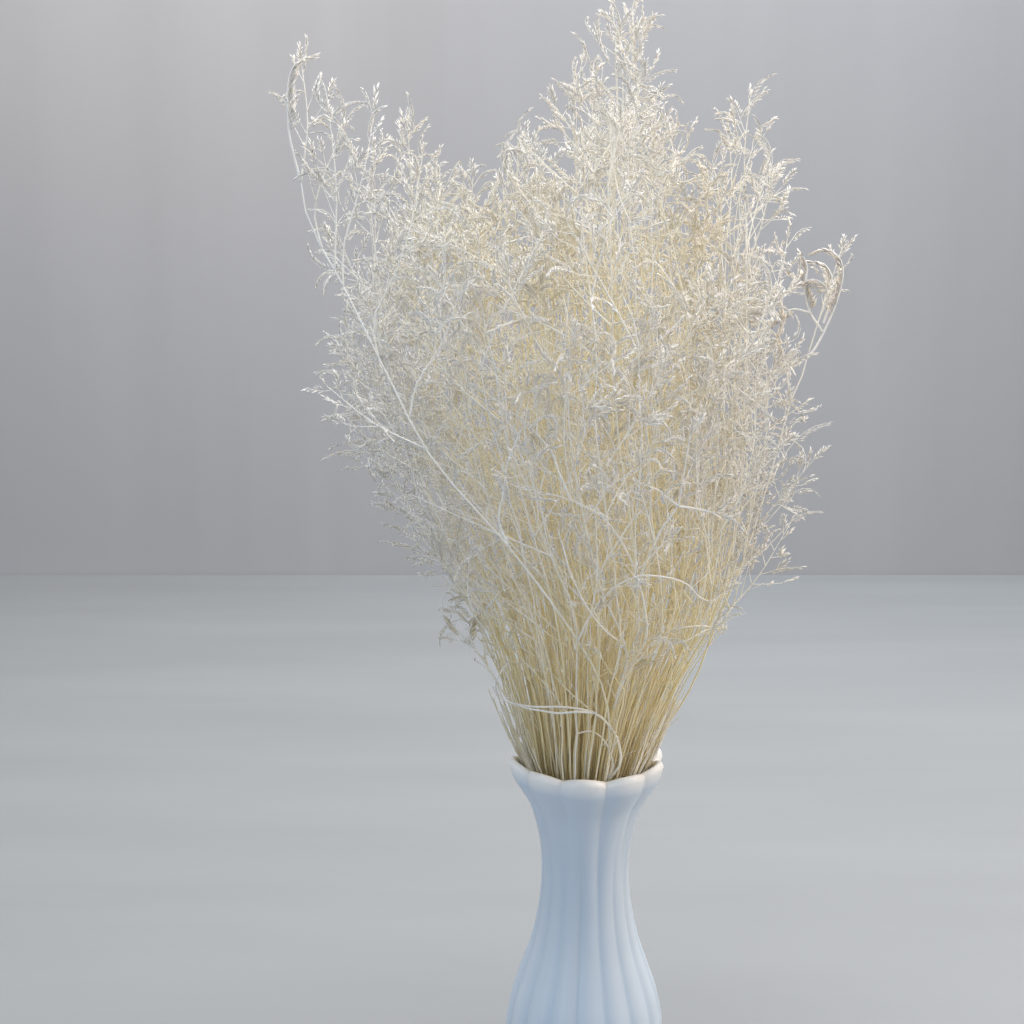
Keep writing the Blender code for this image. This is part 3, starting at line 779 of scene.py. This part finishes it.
def add_twig(bundle, root, heading, length, rng, tone, free=False, kind="twig"):
    """A thin arched twig with one head or a few towards its tip, or bare and sometimes forked."""
    path = twig_path(root, heading, length, rng)
    if not free and is_outside(path[-1]):
        path = twig_path(root, heading, 0.5 * length, rng)
        if is_outside(path[-1]):
            return
    bundle.add(kind, path, tone)
    if rng.random() > bloom(path[-1]):
        if rng.random() < FORKING:
            place, ahead = on_path(path, rng.uniform(*FORK_PLACES))
            fork = twig_path(place, turned(ahead, FORK_SPREAD, rng), FORK_LENGTH * length, rng)
            if not is_outside(fork[-1]):
                bundle.add(kind, fork, tone)
        return
    tip, end = on_path(path, 1.0)
    add_head(bundle, tip, (end + UP * HEAD_RISE).normalized(), rng, tone)
    turn = rng.uniform(0.0, math.tau)
    for share in SIDE_HEADS:
        if rng.random() > SIDE_HEAD_SHARE or length < HEADS_FROM:
            continue
        place, ahead = on_path(path, share)
        aim = turned(ahead, SIDE_HEAD_SPREAD, rng, turn)
        turn += math.pi + rng.uniform(-SIDE_HEAD_TURN, SIDE_HEAD_TURN)
        add_head(bundle, place, (aim + UP * SIDE_HEAD_RISE).normalized(), rng, tone)


def add_lateral(bundle, path, rng, tone, free=False):
    """A side branch with alternate twigs: long and far apart below, short and close at its end."""
    bundle.add("lateral", path, tone)
    length = path_length(path)
    count = max(3, round(length / TWIG_PITCH))
    turn = rng.uniform(0.0, math.tau)
    first, last = TWIGS_SPAN
    for k in range(count):
        share = first + (last - first) * ((k + rng.uniform(*TWIG_PLACE)) / count) ** TWIG_CROWDING
        root, heading = on_path(path, share)
        aim = turned(heading, TWIG_SPREAD, rng, turn)
        turn += math.pi + rng.uniform(-TWIG_TURN, TWIG_TURN)
        reach = min(TWIG_LONGEST, TWIG_SHORTEST + length * (TWIGLESS - share) * rng.uniform(*TWIG_SHARE))
        add_twig(bundle, root, aim, reach * (FREE_SPREAD if free else 1.0), rng, tone, free)
    tip, end = on_path(path, 1.0)
    if rng.random() < bloom(tip):
        add_head(bundle, tip, end, rng, tone)


def spray_paths(spray):
    """The rib and the forked twigs of a side spray of the solids, as paths in space."""
    root, heading, lift = spray["root"], spray["heading"], spray["lift"]

    def place(point):
        return root + heading * point.x + lift * point.y

    lower, upper = spray["runs"]
    rib = [place(lower["root"]), place(lower["tip"]), place(upper["tip"])]
    twigs = [each for run in spray["runs"] for each in run["shoots"] if each["shoots"]]
    return rib, [(place(each["root"]), place(each["tip"])) for each in twigs]


class Crowd:
    """How much of the bunch is in each part of the space, so that new branches go where little is."""

    def __init__(self):
        self.cells = {}

    def cell(self, point):
        return tuple(round(c / CROWD_SIZE) for c in point)

    def add(self, path):
        for point in path[len(path) // 2 :]:
            cell = self.cell(point)
            self.cells[cell] = self.cells.get(cell, 0) + 1

    def count(self, path):
        return sum(self.cells.get(self.cell(point), 0) for point in path[len(path) // 2 :])


def tone_at(point, rng):
    """0 for warm cream and 1 for white: the left of the bunch is whiter than its right and its top."""
    right, left, top, give = TONES
    side = share_between(point.x, *RIGHT_TO_LEFT)
    high = share_between(point.z, *TO_THE_TOP)
    return min(1.0, max(0.0, right + left * side - top * high + rng.uniform(-give, give)))


def add_extra_laterals(bundle, stem, count, rng, crowd, lowest):
    """Side branches that the solids don't have, each the least crowded of a few tries."""
    for k in range(count):
        best = None
        for _ in range(LATERAL_TRIES):
            share = (k + rng.random()) / count
            height = lowest + share * (stem[-1].z - LATERAL_TIP - lowest)
            root, heading = place_on(stem, height)
            aim = turned(heading, LATERAL_ANGLE, rng)
            length = rng.uniform(*LATERAL_LENGTH)
            lift = LATERAL_LIFT if rng.random() > DROOPING else -LATERAL_LIFT
            path = grown_path(root, aim, length, SHOOTS["lateral"][0], rng, lift, LATERAL_BEND)
            if is_outside(path[-1]) or is_outside(path[-3]):
                continue
            crowding = crowd.count(path)
            if best is None or crowding < best[0]:
                best = (crowding, path)
        if best:
            crowd.add(best[1])
            add_lateral(bundle, best[1], rng, tone_at(best[1][-1], rng))


def add_hairs(bundle, stem, rng):
    """The few short bare twigs low on a stem."""
    for _ in range(HAIRS):
        root, heading = place_on(stem, rng.uniform(*HAIR_HEIGHTS))
        aim = turned(heading, HAIR_ANGLE, rng)
        path = twig_path(root, aim, rng.uniform(*HAIR_LENGTH), rng)
        bundle.add("twig", path, rng.random())


def companion_bend(height):
    return COMPANION_BEND * share_between(height, *COMPANION_BEND_HEIGHTS)


def companion_stem(index, number, stem):
    """A thinner stem that parts from a stem of the solids inside the vase, and fans out beside it."""
    rng = random.Random(COMPANION_SEED + COMPANION_SEEDS * index + number)
    share = math.sqrt((index + INNERMOST) / STEM_COUNT) + rng.uniform(*COMPANION_SPREAD)
    share = min(1.0, max(0.05, share))
    turn = FIRST_TURN + index * TURN + rng.uniform(-COMPANION_TURN, COMPANION_TURN)
    across, deep = share * math.cos(turn), share * math.sin(turn)
    tip = stem_tip(across, deep, COMPANION_DROP, rng)
    fork, _ = place_on(stem, rng.uniform(*FORK_HEIGHTS))
    return [fork] + fanned(stations(tip), across, deep, COMPANION_FAN, companion_bend, rng)


def inner_stem(rng):
    """A short bare stem in the middle of the bunch, from inside the vase."""
    share, turn = math.sqrt(rng.uniform(0.0, INNER_AREA)), rng.uniform(0.0, math.tau)
    across, deep = share * math.cos(turn), share * math.sin(turn)
    heights = [INNER_FOOT, *stations(rng.uniform(*INNER_TIPS))]
    points = fanned(heights, across, deep, COMPANION_FAN, companion_bend, rng)
    return wavering(smooth_path(points, SHOOTS["inner"][0]), rng)


def rim_stem(rng):
    """A short bare stem that leans out over the mouth."""
    turn, share, tip = rng.uniform(*RIM_TURNS), rng.uniform(*RIM_SHARES), rng.uniform(*RIM_TIPS)
    points = []
    for height in [*(row[0] for row in RIM_PATH if row[0] < tip), tip]:
        reach = share * along(RIM_PATH, height)
        points.append(Vector((reach * math.cos(turn), reach * math.sin(turn), height)))
    return wavering(smooth_path(points, SHOOTS["inner"][0]), rng)


def wavering(path, rng):
    """A path with small kinks at its points, none near the vase."""
    kinked = []
    for point in path:
        size = KINK * share_between(point.z, *KINK_HEIGHTS)
        kinked.append(point + Vector((rng.uniform(-size, size), rng.uniform(-size, size), 0.0)))
    return kinked


def lowest_lateral(stem):
    """Height of the lowest side branch: low on the outer stems and higher on the middle ones."""
    lean = min(1.0, from_middle(stem[-1]) / FAN[-1][1])
    return LOWEST_LATERAL[0] + (LOWEST_LATERAL[1] - LOWEST_LATERAL[0]) * lean


def grow_details(bunch):
    """One bundle for each stem of the solids, with everything finer that goes with it."""
    crowd = Crowd()
    bundles = []
    for index, stem in enumerate(bunch):
        rng = random.Random(DETAIL_SEED + index)
        bundle = Bundle()
        free = index >= STEM_COUNT
        kind = "bough" if free else "stem"
        bundle.add(kind, smooth_path(stem["points"], SHOOTS[kind][0]), rng.random())
        for spray in stem["sprays"]:
            rib, twigs = spray_paths(spray)
            path = smooth_path(rib, SHOOTS["lateral"][0])
            tone = tone_at(path[-1], rng)
            crowd.add(path)
            add_lateral(bundle, path, rng, tone, free)
            for root, tip in twigs:
                add_twig(bundle, root, (tip - root).normalized(), (tip - root).length, rng, tone, free)
        bundles.append(bundle)
    for index, stem in enumerate(bunch[:STEM_COUNT]):
        rng = random.Random(MORE_SEED + index)
        bundle = bundles[index]
        points = stem["points"]
        add_extra_laterals(bundle, points, EXTRA_LATERALS, rng, crowd, lowest_lateral(points))
        add_hairs(bundle, points, rng)
        for number in range(COMPANIONS):
            beside = companion_stem(index, number, points)
            path = wavering(smooth_path(beside, SHOOTS["companion"][0]), rng)
            bundle.add("companion", path, rng.random())
            add_hairs(bundle, beside[1:], rng)
            add_extra_laterals(bundle, beside[1:], COMPANION_LATERALS, rng, crowd, lowest_lateral(beside))
        for _ in range(INNER_STEMS):
            bundle.add("inner", inner_stem(rng), INNER_TONE * rng.random())
        for _ in range(RIM_STEMS):
            bundle.add("inner", rim_stem(rng), rng.random())
    add_strays(bundles, bunch)
    return bundles


def add_limb_twigs(bundle, path, rng):
    """The few white twigs of a white limb, some bare and forked and some with a head."""
    count = max(2, round(path_length(path) / LIMB_PITCH))
    for k in range(count):
        root, heading = on_path(path, (k + rng.uniform(*LIMB_PLACE)) / count)
        aim = turned(heading, TWIG_SPREAD, rng)
        length = rng.uniform(*LIMB_TWIGS)
        if rng.random() > LIMB_HEADS:
            add_twig(bundle, root, aim, length, rng, 1.0, kind="branchlet")
            continue
        twig = twig_path(root, aim, LIMB_SHORTER * length, rng)
        bundle.add("branchlet", twig, 1.0)
        add_head(bundle, twig[-1], (twig[-1] - twig[-2]).normalized(), rng, 1.0)
    tip, end = on_path(path, 1.0)
    add_head(bundle, tip, end, rng, 1.0)


def add_strays(bundles, bunch):
    """The single shoots that show apart from the rest, each with the stem that it leaves."""
    for number, (owner, height, kind, points) in enumerate(STRAYS):
        rng = random.Random(STRAY_SEED + number)
        bundle = bundles[owner - 1]
        points = [Vector(p) for p in points]
        if height:
            points.insert(0, place_on(bunch[owner - 1]["points"], height)[0])
        shape = {"spray": "lateral", "arch": "arch"}.get(kind, "limb")
        path = smooth_path(points, SHOOTS[shape][0])
        tone = tone_at(path[-1], rng)
        if kind == "spray":
            add_lateral(bundle, path, rng, tone, True)
            continue
        bundle.add(shape, path, 1.0)
        if kind == "limb":
            add_limb_twigs(bundle, path, rng)
        elif kind == "comb":
            add_long_comb(bundle, path, rng, tone, LONG_COMB_STEP, 1.0)
        elif kind == "papery":
            add_long_comb(bundle, path, rng, rng.uniform(*PAPERY_TONE), PAPERY_STEP, PAPERY_BREADTH)


# Meshes, made as whole arrays


def unit(vectors):
    return vectors / np.maximum(np.linalg.norm(vectors, axis=-1, keepdims=True), 1e-9)


def tubes(paths, radius_root, radius_tip, sides):
    """Round shoots of one kind: corner points (n, rings, sides, 3) and triangles."""
    points = np.array([[tuple(p) for p in path] for path in paths])
    count, rings = points.shape[:2]
    ahead = unit(np.gradient(points, axis=1))
    steep = np.abs(ahead[:, :, 2].mean(axis=1)) > 0.75
    fixed = np.where(steep[:, None], (1.0, 0.25, 0.0), (0.0, 0.0, 1.0))[:, None, :]
    across = unit(np.cross(ahead, fixed))
    over = np.cross(ahead, across)
    turns = np.arange(sides) * math.tau / sides
    ring = np.cos(turns)[:, None] * across[:, :, None, :] + np.sin(turns)[:, None] * over[:, :, None, :]
    radii = np.linspace(radius_root, radius_tip, rings)[None, :, None, None]
    corners = points[:, :, None, :] + ring * radii
    start = (np.arange(count) * rings * sides)[:, None, None]
    row = (np.arange(rings - 1) * sides)[None, :, None]
    a = start + row + np.arange(sides)
    b = start + row + (np.arange(sides) + 1) % sides
    quads = np.stack([a, b, b + sides, a + sides], axis=-1).reshape(-1, 4)
    triangles = np.concatenate([quads[:, [0, 1, 2]], quads[:, [0, 2, 3]]])
    return corners, triangles


def floret_mesh(florets):
    """Slim bent spindles: corner points (n, 5, 3), triangles, and each point's place along its floret."""
    roots, aims, bends, lengths, _, breadths = zip(*florets)
    root, aim, bend = (np.array([tuple(v) for v in vectors]) for vectors in (roots, aims, bends))
    length, breadth = (np.array(values)[:, None, None] for values in (lengths, breadths))
    bend = unit(bend - aim * np.sum(bend * aim, axis=1, keepdims=True))
    side = np.cross(aim, bend)
    widest, half = FLORET_WIDEST
    share = np.array([0.0, widest, widest, widest, 1.0])
    width = np.array([0.0, half, half, half, 0.0])
    turns = np.radians(np.array([0.0, 90.0, 210.0, 330.0, 0.0]))
    corners = root[:, None, :] + aim[:, None, :] * length * share[None, :, None]
    corners = corners + bend[:, None, :] * length * FLORET_BEND * (share**3)[None, :, None]
    corners = corners + side[:, None, :] * (np.cos(turns) * width)[None, :, None] * breadth
    corners = corners + bend[:, None, :] * (np.sin(turns) * width * FLORET_FLAT)[None, :, None] * breadth
    faces = [(0, 1, 2), (0, 2, 3), (0, 3, 1), (1, 4, 2), (2, 4, 3), (3, 4, 1)]
    start = len(share) * np.arange(len(florets))
    triangles = (start[:, None, None] + np.array(faces)).reshape(-1, 3)
    return corners, triangles, share


def blend(a, b, share):
    share = np.asarray(share)[..., None]
    return np.asarray(a) * (1.0 - share) + np.asarray(b) * share


def shaded(points, colours, tones):
    """Painted glow: colours more golden towards the middle of the bunch and the vase, less on pale shoots.
    """
    heights = points[:, 2]
    middle = np.interp(heights, *zip(*MIDDLE))
    outward = np.hypot(points[:, 0] - middle, points[:, 1]) / np.interp(heights, *zip(*REACH))
    low = 1.0 - share_between(heights, *DEEP_HEIGHTS)
    inner, outer = (at_top + added * low for at_top, added in SKIN)
    pale = PALEST * share_between(tones, *PALE_TONES)
    skin = np.maximum(share_between(outward, inner, outer), share_between(heights, *PALE_HEIGHTS))
    skin = np.maximum(skin, pale)
    # painted glow of light through the bunch, gold deep inside and low down
    warm = blend(PAINTED_GLOW, colours, GOLDEN + (1.0 - GOLDEN) * skin)
    # straw low down: partly the stems' own colour, partly painted glow
    straw_and_glow = STRAW_AND_GLOW_SHARE * (1.0 - share_between(heights, *STRAW_AND_GLOW_HEIGHTS))
    straw_and_glow = straw_and_glow * (1.0 - STRAW_AND_GLOW_FADING * skin) * (1.0 - pale)
    return blend(warm, STRAW_AND_GLOW, straw_and_glow)


def mesh_object(name, points, triangles, colours, paint):
    """An object with a smooth mesh of triangles, and its colours as an attribute."""
    mesh = bpy.data.meshes.new(name)
    mesh.vertices.add(len(points))
    mesh.vertices.foreach_set("co", (points * MM).astype(np.float32).ravel())
    mesh.loops.add(3 * len(triangles))
    mesh.loops.foreach_set("vertex_index", triangles.astype(np.int32).ravel())
    mesh.polygons.add(len(triangles))
    mesh.polygons.foreach_set("loop_start", np.arange(0, 3 * len(triangles), 3, dtype=np.int32))
    mesh.polygons.foreach_set("use_smooth", np.ones(len(triangles), dtype=bool))
    tint = mesh.color_attributes.new("tint", "FLOAT_COLOR", "POINT")
    whole = np.concatenate([colours, np.ones((len(colours), 1))], axis=1)
    tint.data.foreach_set("color", whole.astype(np.float32).ravel())
    mesh.update()
    mesh.validate()
    mesh.materials.append(paint)
    made = bpy.data.objects.new(name, mesh)
    bpy.context.scene.collection.objects.link(made)
    return made


def bundle_object(name, bundle, paint):
    """One piece of the bunch from its bundle."""
    points, triangles, colours = [], [], []
    start = 0
    for kind, (_, root_radius, tip_radius, sides) in SHOOTS.items():
        shoots = bundle.shoots[kind]
        if not shoots:
            continue
        corners, faces = tubes([path for path, _ in shoots], root_radius, tip_radius, sides)
        tones = np.repeat([tone for _, tone in shoots], corners.shape[1] * sides)
        flat = corners.reshape(-1, 3)
        points.append(flat)
        colours.append(shaded(flat, blend(CREAM, WHITE, tones), tones))
        triangles.append(faces + start)
        start += len(flat)
    corners, faces, share = floret_mesh(bundle.florets)
    *_, tones, breadths = zip(*bundle.florets)
    tones = np.repeat(tones, len(share))
    papery = np.repeat([float(breadth > 1.0) for breadth in breadths], len(share))
    by_tip, by_tone = WHITENESS
    whiteness = np.clip(np.tile(share, len(breadths)) * by_tip + by_tone * tones, 0.0, 1.0)
    bleached = blend(blend(BEIGE, WHITE, whiteness), PEACH, papery)
    flat = corners.reshape(-1, 3)
    points.append(flat)
    colours.append(shaded(flat, bleached, FLORET_PALENESS * tones))
    triangles.append(faces + start)
    return mesh_object(name, *map(np.concatenate, (points, triangles, colours)), paint)


def vase_section():
    """The vase's fine section as (radius, height, inside) rows: the solids' section with more rings."""
    low, high = FOOT_EDGE
    rows = [(0.0, 0.0, False), (VASE_OUTLINE[0][1] - FOOT_CHAMFER, 0.0, False)]
    rows.append((along(VASE_OUTLINE, high) - FOOT_ROUND, low, False))
    for height in np.linspace(high, VASE_TOP, VASE_ROWS):
        rows.append((along(VASE_OUTLINE, height), height, False))
    centre = along(VASE_OUTLINE, VASE_TOP) - LIP_SHARE * WALL
    half = LIP_SHARE * WALL + LIP_OVER
    for turn in np.linspace(*LIP_ENDS, LIP_ROWS):
        rise = LIP_RISE * math.sin(turn)
        rows.append((centre + half * math.cos(turn), VASE_TOP + rise, turn > math.pi / 2.0))
    for height in np.linspace(INSIDE_TOP, INSIDE_FOOT, VASE_ROWS // 2):
        rows.append((along(VASE_OUTLINE, height) - WALL, height, True))
    return rows + [(FLOOR_RADIUS, FLOOR_TOP, True), (0.0, FLOOR_TOP, True)]


def vase_object(paint):
    """The vase, turned and fluted by the same formula as its solid, in finer steps."""
    rows = vase_section()
    turns = np.arange(VASE_SIDES) * math.tau / VASE_SIDES
    rib_wave = np.abs(np.cos(0.5 * RIB_COUNT * (turns - RIB_FACING))) ** RIB_FULLNESS - RIB_LEVEL
    lobe_wave = 2.0 * np.abs(np.cos(0.5 * LOBE_COUNT * (turns - LOBE_FACING))) ** LOBE_FULLNESS - LOBE_LEVEL
    points, colours = [], []
    for radius, height, inside in rows:
        ribs = 0.0 if inside else along(RIB_DEPTH, height)
        fluted = radius > 1.0
        reach = radius + (ribs * rib_wave + along(LOBE_REACH, height) * lobe_wave) * fluted
        level = height + along(LOBE_RISE, height) * lobe_wave * fluted
        points.append(np.stack([reach * np.cos(turns), reach * np.sin(turns), level], axis=1))
        # painted shade in the grooves: darker and bluer where the ribs are deeper
        colours.append(blend((1.0, 1.0, 1.0), GROOVE_SHADE, (RIB_LEVEL - rib_wave) * GROOVE_SHADE_SHARE * ribs))
    a = np.arange(VASE_SIDES)
    b = (a + 1) % VASE_SIDES
    triangles = []
    for k in range(len(rows) - 1):
        low, high = k * VASE_SIDES, (k + 1) * VASE_SIDES
        if k > 0:
            triangles.append(np.stack([low + a, low + b, high + b], axis=1))
        if k < len(rows) - 2:
            triangles.append(np.stack([low + a, high + b, high + a], axis=1))
    return mesh_object("vase_glazed", *map(np.concatenate, (points, triangles, colours)), paint)


# Materials


def new_material(name, settings):
    """A material, its node tree and its shader, with settings made on the shader's own sockets."""
    made = bpy.data.materials.new(name)
    made.use_nodes = True
    shader = made.node_tree.nodes["Principled BSDF"]
    for socket, value in settings.items():
        shader.inputs[socket].default_value = value
    return made, made.node_tree, shader


def object_place(tree):
    return tree.nodes.new("ShaderNodeTexCoord").outputs["Object"]


def tint_of(tree):
    """The colour that the mesh carries at each point, with its painted glow or painted groove shade."""
    made = tree.nodes.new("ShaderNodeAttribute")
    made.attribute_name = "tint"
    return made.outputs["Color"]


def map_range(tree, source, limits):
    made = tree.nodes.new("ShaderNodeMapRange")
    for socket, value in limits.items():
        made.inputs[socket].default_value = value
    tree.links.new(source, made.inputs["Value"])
    return made.outputs["Result"]


def noise_of(tree, scale, detail, coordinates):
    made = tree.nodes.new("ShaderNodeTexNoise")
    made.inputs["Scale"].default_value = scale
    made.inputs["Detail"].default_value = detail
    tree.links.new(coordinates, made.inputs["Vector"])
    return made.outputs["Fac"]


def ramp_of(tree, source, stops):
    """A colour ramp from a value, with its stops as (place, colour)."""
    made = tree.nodes.new("ShaderNodeValToRGB")
    for element, (place, colour) in zip(made.color_ramp.elements, stops):
        element.position = place
        element.color = (*colour, 1.0)
    tree.links.new(source, made.inputs["Fac"])
    return made.outputs["Color"]


def mixed(tree, kind, share, a, b):
    made = tree.nodes.new("ShaderNodeMix")
    made.data_type = "RGBA"
    made.blend_type = kind
    made.inputs["Factor"].default_value = share
    tree.links.new(a, made.inputs["A"])
    tree.links.new(b, made.inputs["B"])
    return made.outputs["Result"]


def bump_of(tree, shader, height, strength, distance):
    made = tree.nodes.new("ShaderNodeBump")
    made.inputs["Strength"].default_value = strength
    made.inputs["Distance"].default_value = distance
    tree.links.new(height, made.inputs["Height"])
    tree.links.new(made.outputs["Normal"], shader.inputs["Normal"])


def statice_material():
    """Bleached dry plant: its tint, painted glow included, mottled coarsely and finely, with fibres in low
    relief.
    """
    made, tree, shader = new_material("bleached_statice", {
        "Roughness": 0.82,
        "Sheen Weight": 0.15,
        "Sheen Roughness": 0.5,
        "Specular IOR Level": 0.3,
        "Subsurface Weight": 0.45,
        "Subsurface Radius": (1.0, 0.85, 0.6),
        "Subsurface Scale": 0.002,
    })
    place = object_place(tree)
    coarse = noise_of(tree, 90.0, 3.0, place)
    fine = noise_of(tree, 1400.0, 2.0, place)
    patches = ramp_of(tree, coarse, ((0.30, (0.94, 0.92, 0.87)), (0.62, (1.0, 1.0, 1.0))))
    flecks = ramp_of(tree, fine, ((0.32, (0.92, 0.90, 0.85)), (0.55, (1.0, 1.0, 1.0))))
    colour = mixed(tree, "MULTIPLY", 1.0, tint_of(tree), patches)
    colour = mixed(tree, "MULTIPLY", 0.8, colour, flecks)
    tree.links.new(colour, shader.inputs["Base Color"])
    bump_of(tree, shader, fine, 0.4, 0.0002)
    return made


def glaze_material():
    """White glaze: faintly uneven in colour and gloss, like orange peel; painted shade on the wall, painted
    light on the rim.
    """
    made, tree, shader = new_material("white_glaze", {"Coat Weight": 0.15, "Coat Roughness": 0.3})
    place = object_place(tree)
    cloud = noise_of(tree, 22.0, 3.0, place)
    peel = noise_of(tree, 260.0, 1.0, place)
    # painted shade: the white glaze is dimmed and blued, for the wall that stands in shade under blue light
    wall = ramp_of(tree, cloud, ((0.30, (0.57, 0.66, 0.77)), (0.70, (0.62, 0.70, 0.79))))
    height = tree.nodes.new("ShaderNodeSeparateXYZ")
    tree.links.new(place, height.inputs["Vector"])
    # painted highlight: the lip turns whiter, for light from above falling on it
    rim = map_range(tree, height.outputs["Z"], {"From Min": 0.178, "From Max": 0.185})
    painted_rim_light = ramp_of(tree, rim, ((0.0, (0.0, 0.0, 0.0)), (1.0, (0.85, 0.78, 0.60))))
    # the mesh's tint brings in the painted shade of the grooves
    colour = mixed(tree, "MULTIPLY", 1.0, wall, tint_of(tree))
    colour = mixed(tree, "SCREEN", 1.0, colour, painted_rim_light)
    tree.links.new(colour, shader.inputs["Base Color"])
    gloss = map_range(tree, cloud, {"To Min": 0.36, "To Max": 0.5})
    tree.links.new(gloss, shader.inputs["Roughness"])
    bump_of(tree, shader, peel, 0.10, 0.0004)
    return made


# Stage, light and camera


def plain_material(name, colour, roughness, grain):
    """A plain surface with a faint long grain across the picture."""
    made, tree, shader = new_material(name, {"Roughness": roughness})
    stretch = tree.nodes.new("ShaderNodeMapping")
    stretch.inputs["Scale"].default_value = grain
    tree.links.new(object_place(tree), stretch.inputs["Vector"])
    cloud = noise_of(tree, 3.0, 5.0, stretch.outputs["Vector"])
    low = tuple(GRAIN_SHADE * c for c in colour)
    shade = ramp_of(tree, cloud, ((0.35, low), (0.65, colour)))
    tree.links.new(shade, shader.inputs["Base Color"])
    return made


def plane(name, corners, paint):
    mesh = bpy.data.meshes.new(name)
    mesh.from_pydata(corners, [], [(0, 1, 2, 3)])
    mesh.materials.append(paint)
    made = bpy.data.objects.new(name, mesh)
    bpy.context.scene.collection.objects.link(made)
    return made


def area_light(name, place, target, size, power, colour):
    light = bpy.data.lights.new(name, "AREA")
    light.shape = "DISK"
    light.size, light.energy, light.color = size, power, colour
    made = bpy.data.objects.new(name, light)
    made.location = place
    made.rotation_euler = (Vector(target) - Vector(place)).to_track_quat("-Z", "Y").to_euler()
    bpy.context.scene.collection.objects.link(made)


def make_stage():
    table = plain_material("table_paint", TABLE_COLOUR, 0.7, TABLE_GRAIN)
    wall = plain_material("wall_paint", WALL_COLOUR, 0.9, WALL_GRAIN)
    x, near, far, high = STAGE_SIZE
    low, back = BACKDROP_FOOT, far + BACKDROP_GAP
    floor = plane("floor", [(-x, near, 0.0), (x, near, 0.0), (x, far, 0.0), (-x, far, 0.0)], table)
    corners = [(-x, back, low), (x, back, low), (x, back, high), (-x, back, high)]
    backdrop = plane("backdrop", corners, wall)


def make_light():
    scene = bpy.context.scene
    scene.view_settings.view_transform = "Standard"
    world = bpy.data.worlds.new("soft_room")
    world.use_nodes = True
    sky = world.node_tree.nodes["Background"]
    sky.inputs["Color"].default_value = (*ROOM_COLOUR, 1.0)
    sky.inputs["Strength"].default_value = ROOM_STRENGTH
    scene.world = world
    for name, place, target, size, power, colour in LIGHTS:
        area_light(name, place, target, size, power, colour)


def make_camera():
    camera = bpy.data.cameras.new("photo_camera")
    camera.lens = CAMERA_LENS
    camera.sensor_width = 36.0
    camera.clip_start = 0.01
    made = bpy.data.objects.new("photo_camera", camera)
    made.location = CAMERA_PLACE
    made.rotation_euler = (math.radians(CAMERA_TILT), 0.0, 0.0)
    bpy.context.scene.collection.objects.link(made)
    bpy.context.scene.camera = made


# The scene


make_camera()
make_light()
make_stage()
vase = vase_object(glaze_material())
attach(vase, "root")
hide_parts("vase")
paint = statice_material()
for number, bundle in enumerate(grow_details(grow_bunch()), start=1):
    piece = bundle_object(f"statice_{number:02d}", bundle, paint)
    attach(piece, "root")
    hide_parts(f"spray_{number:02d}")
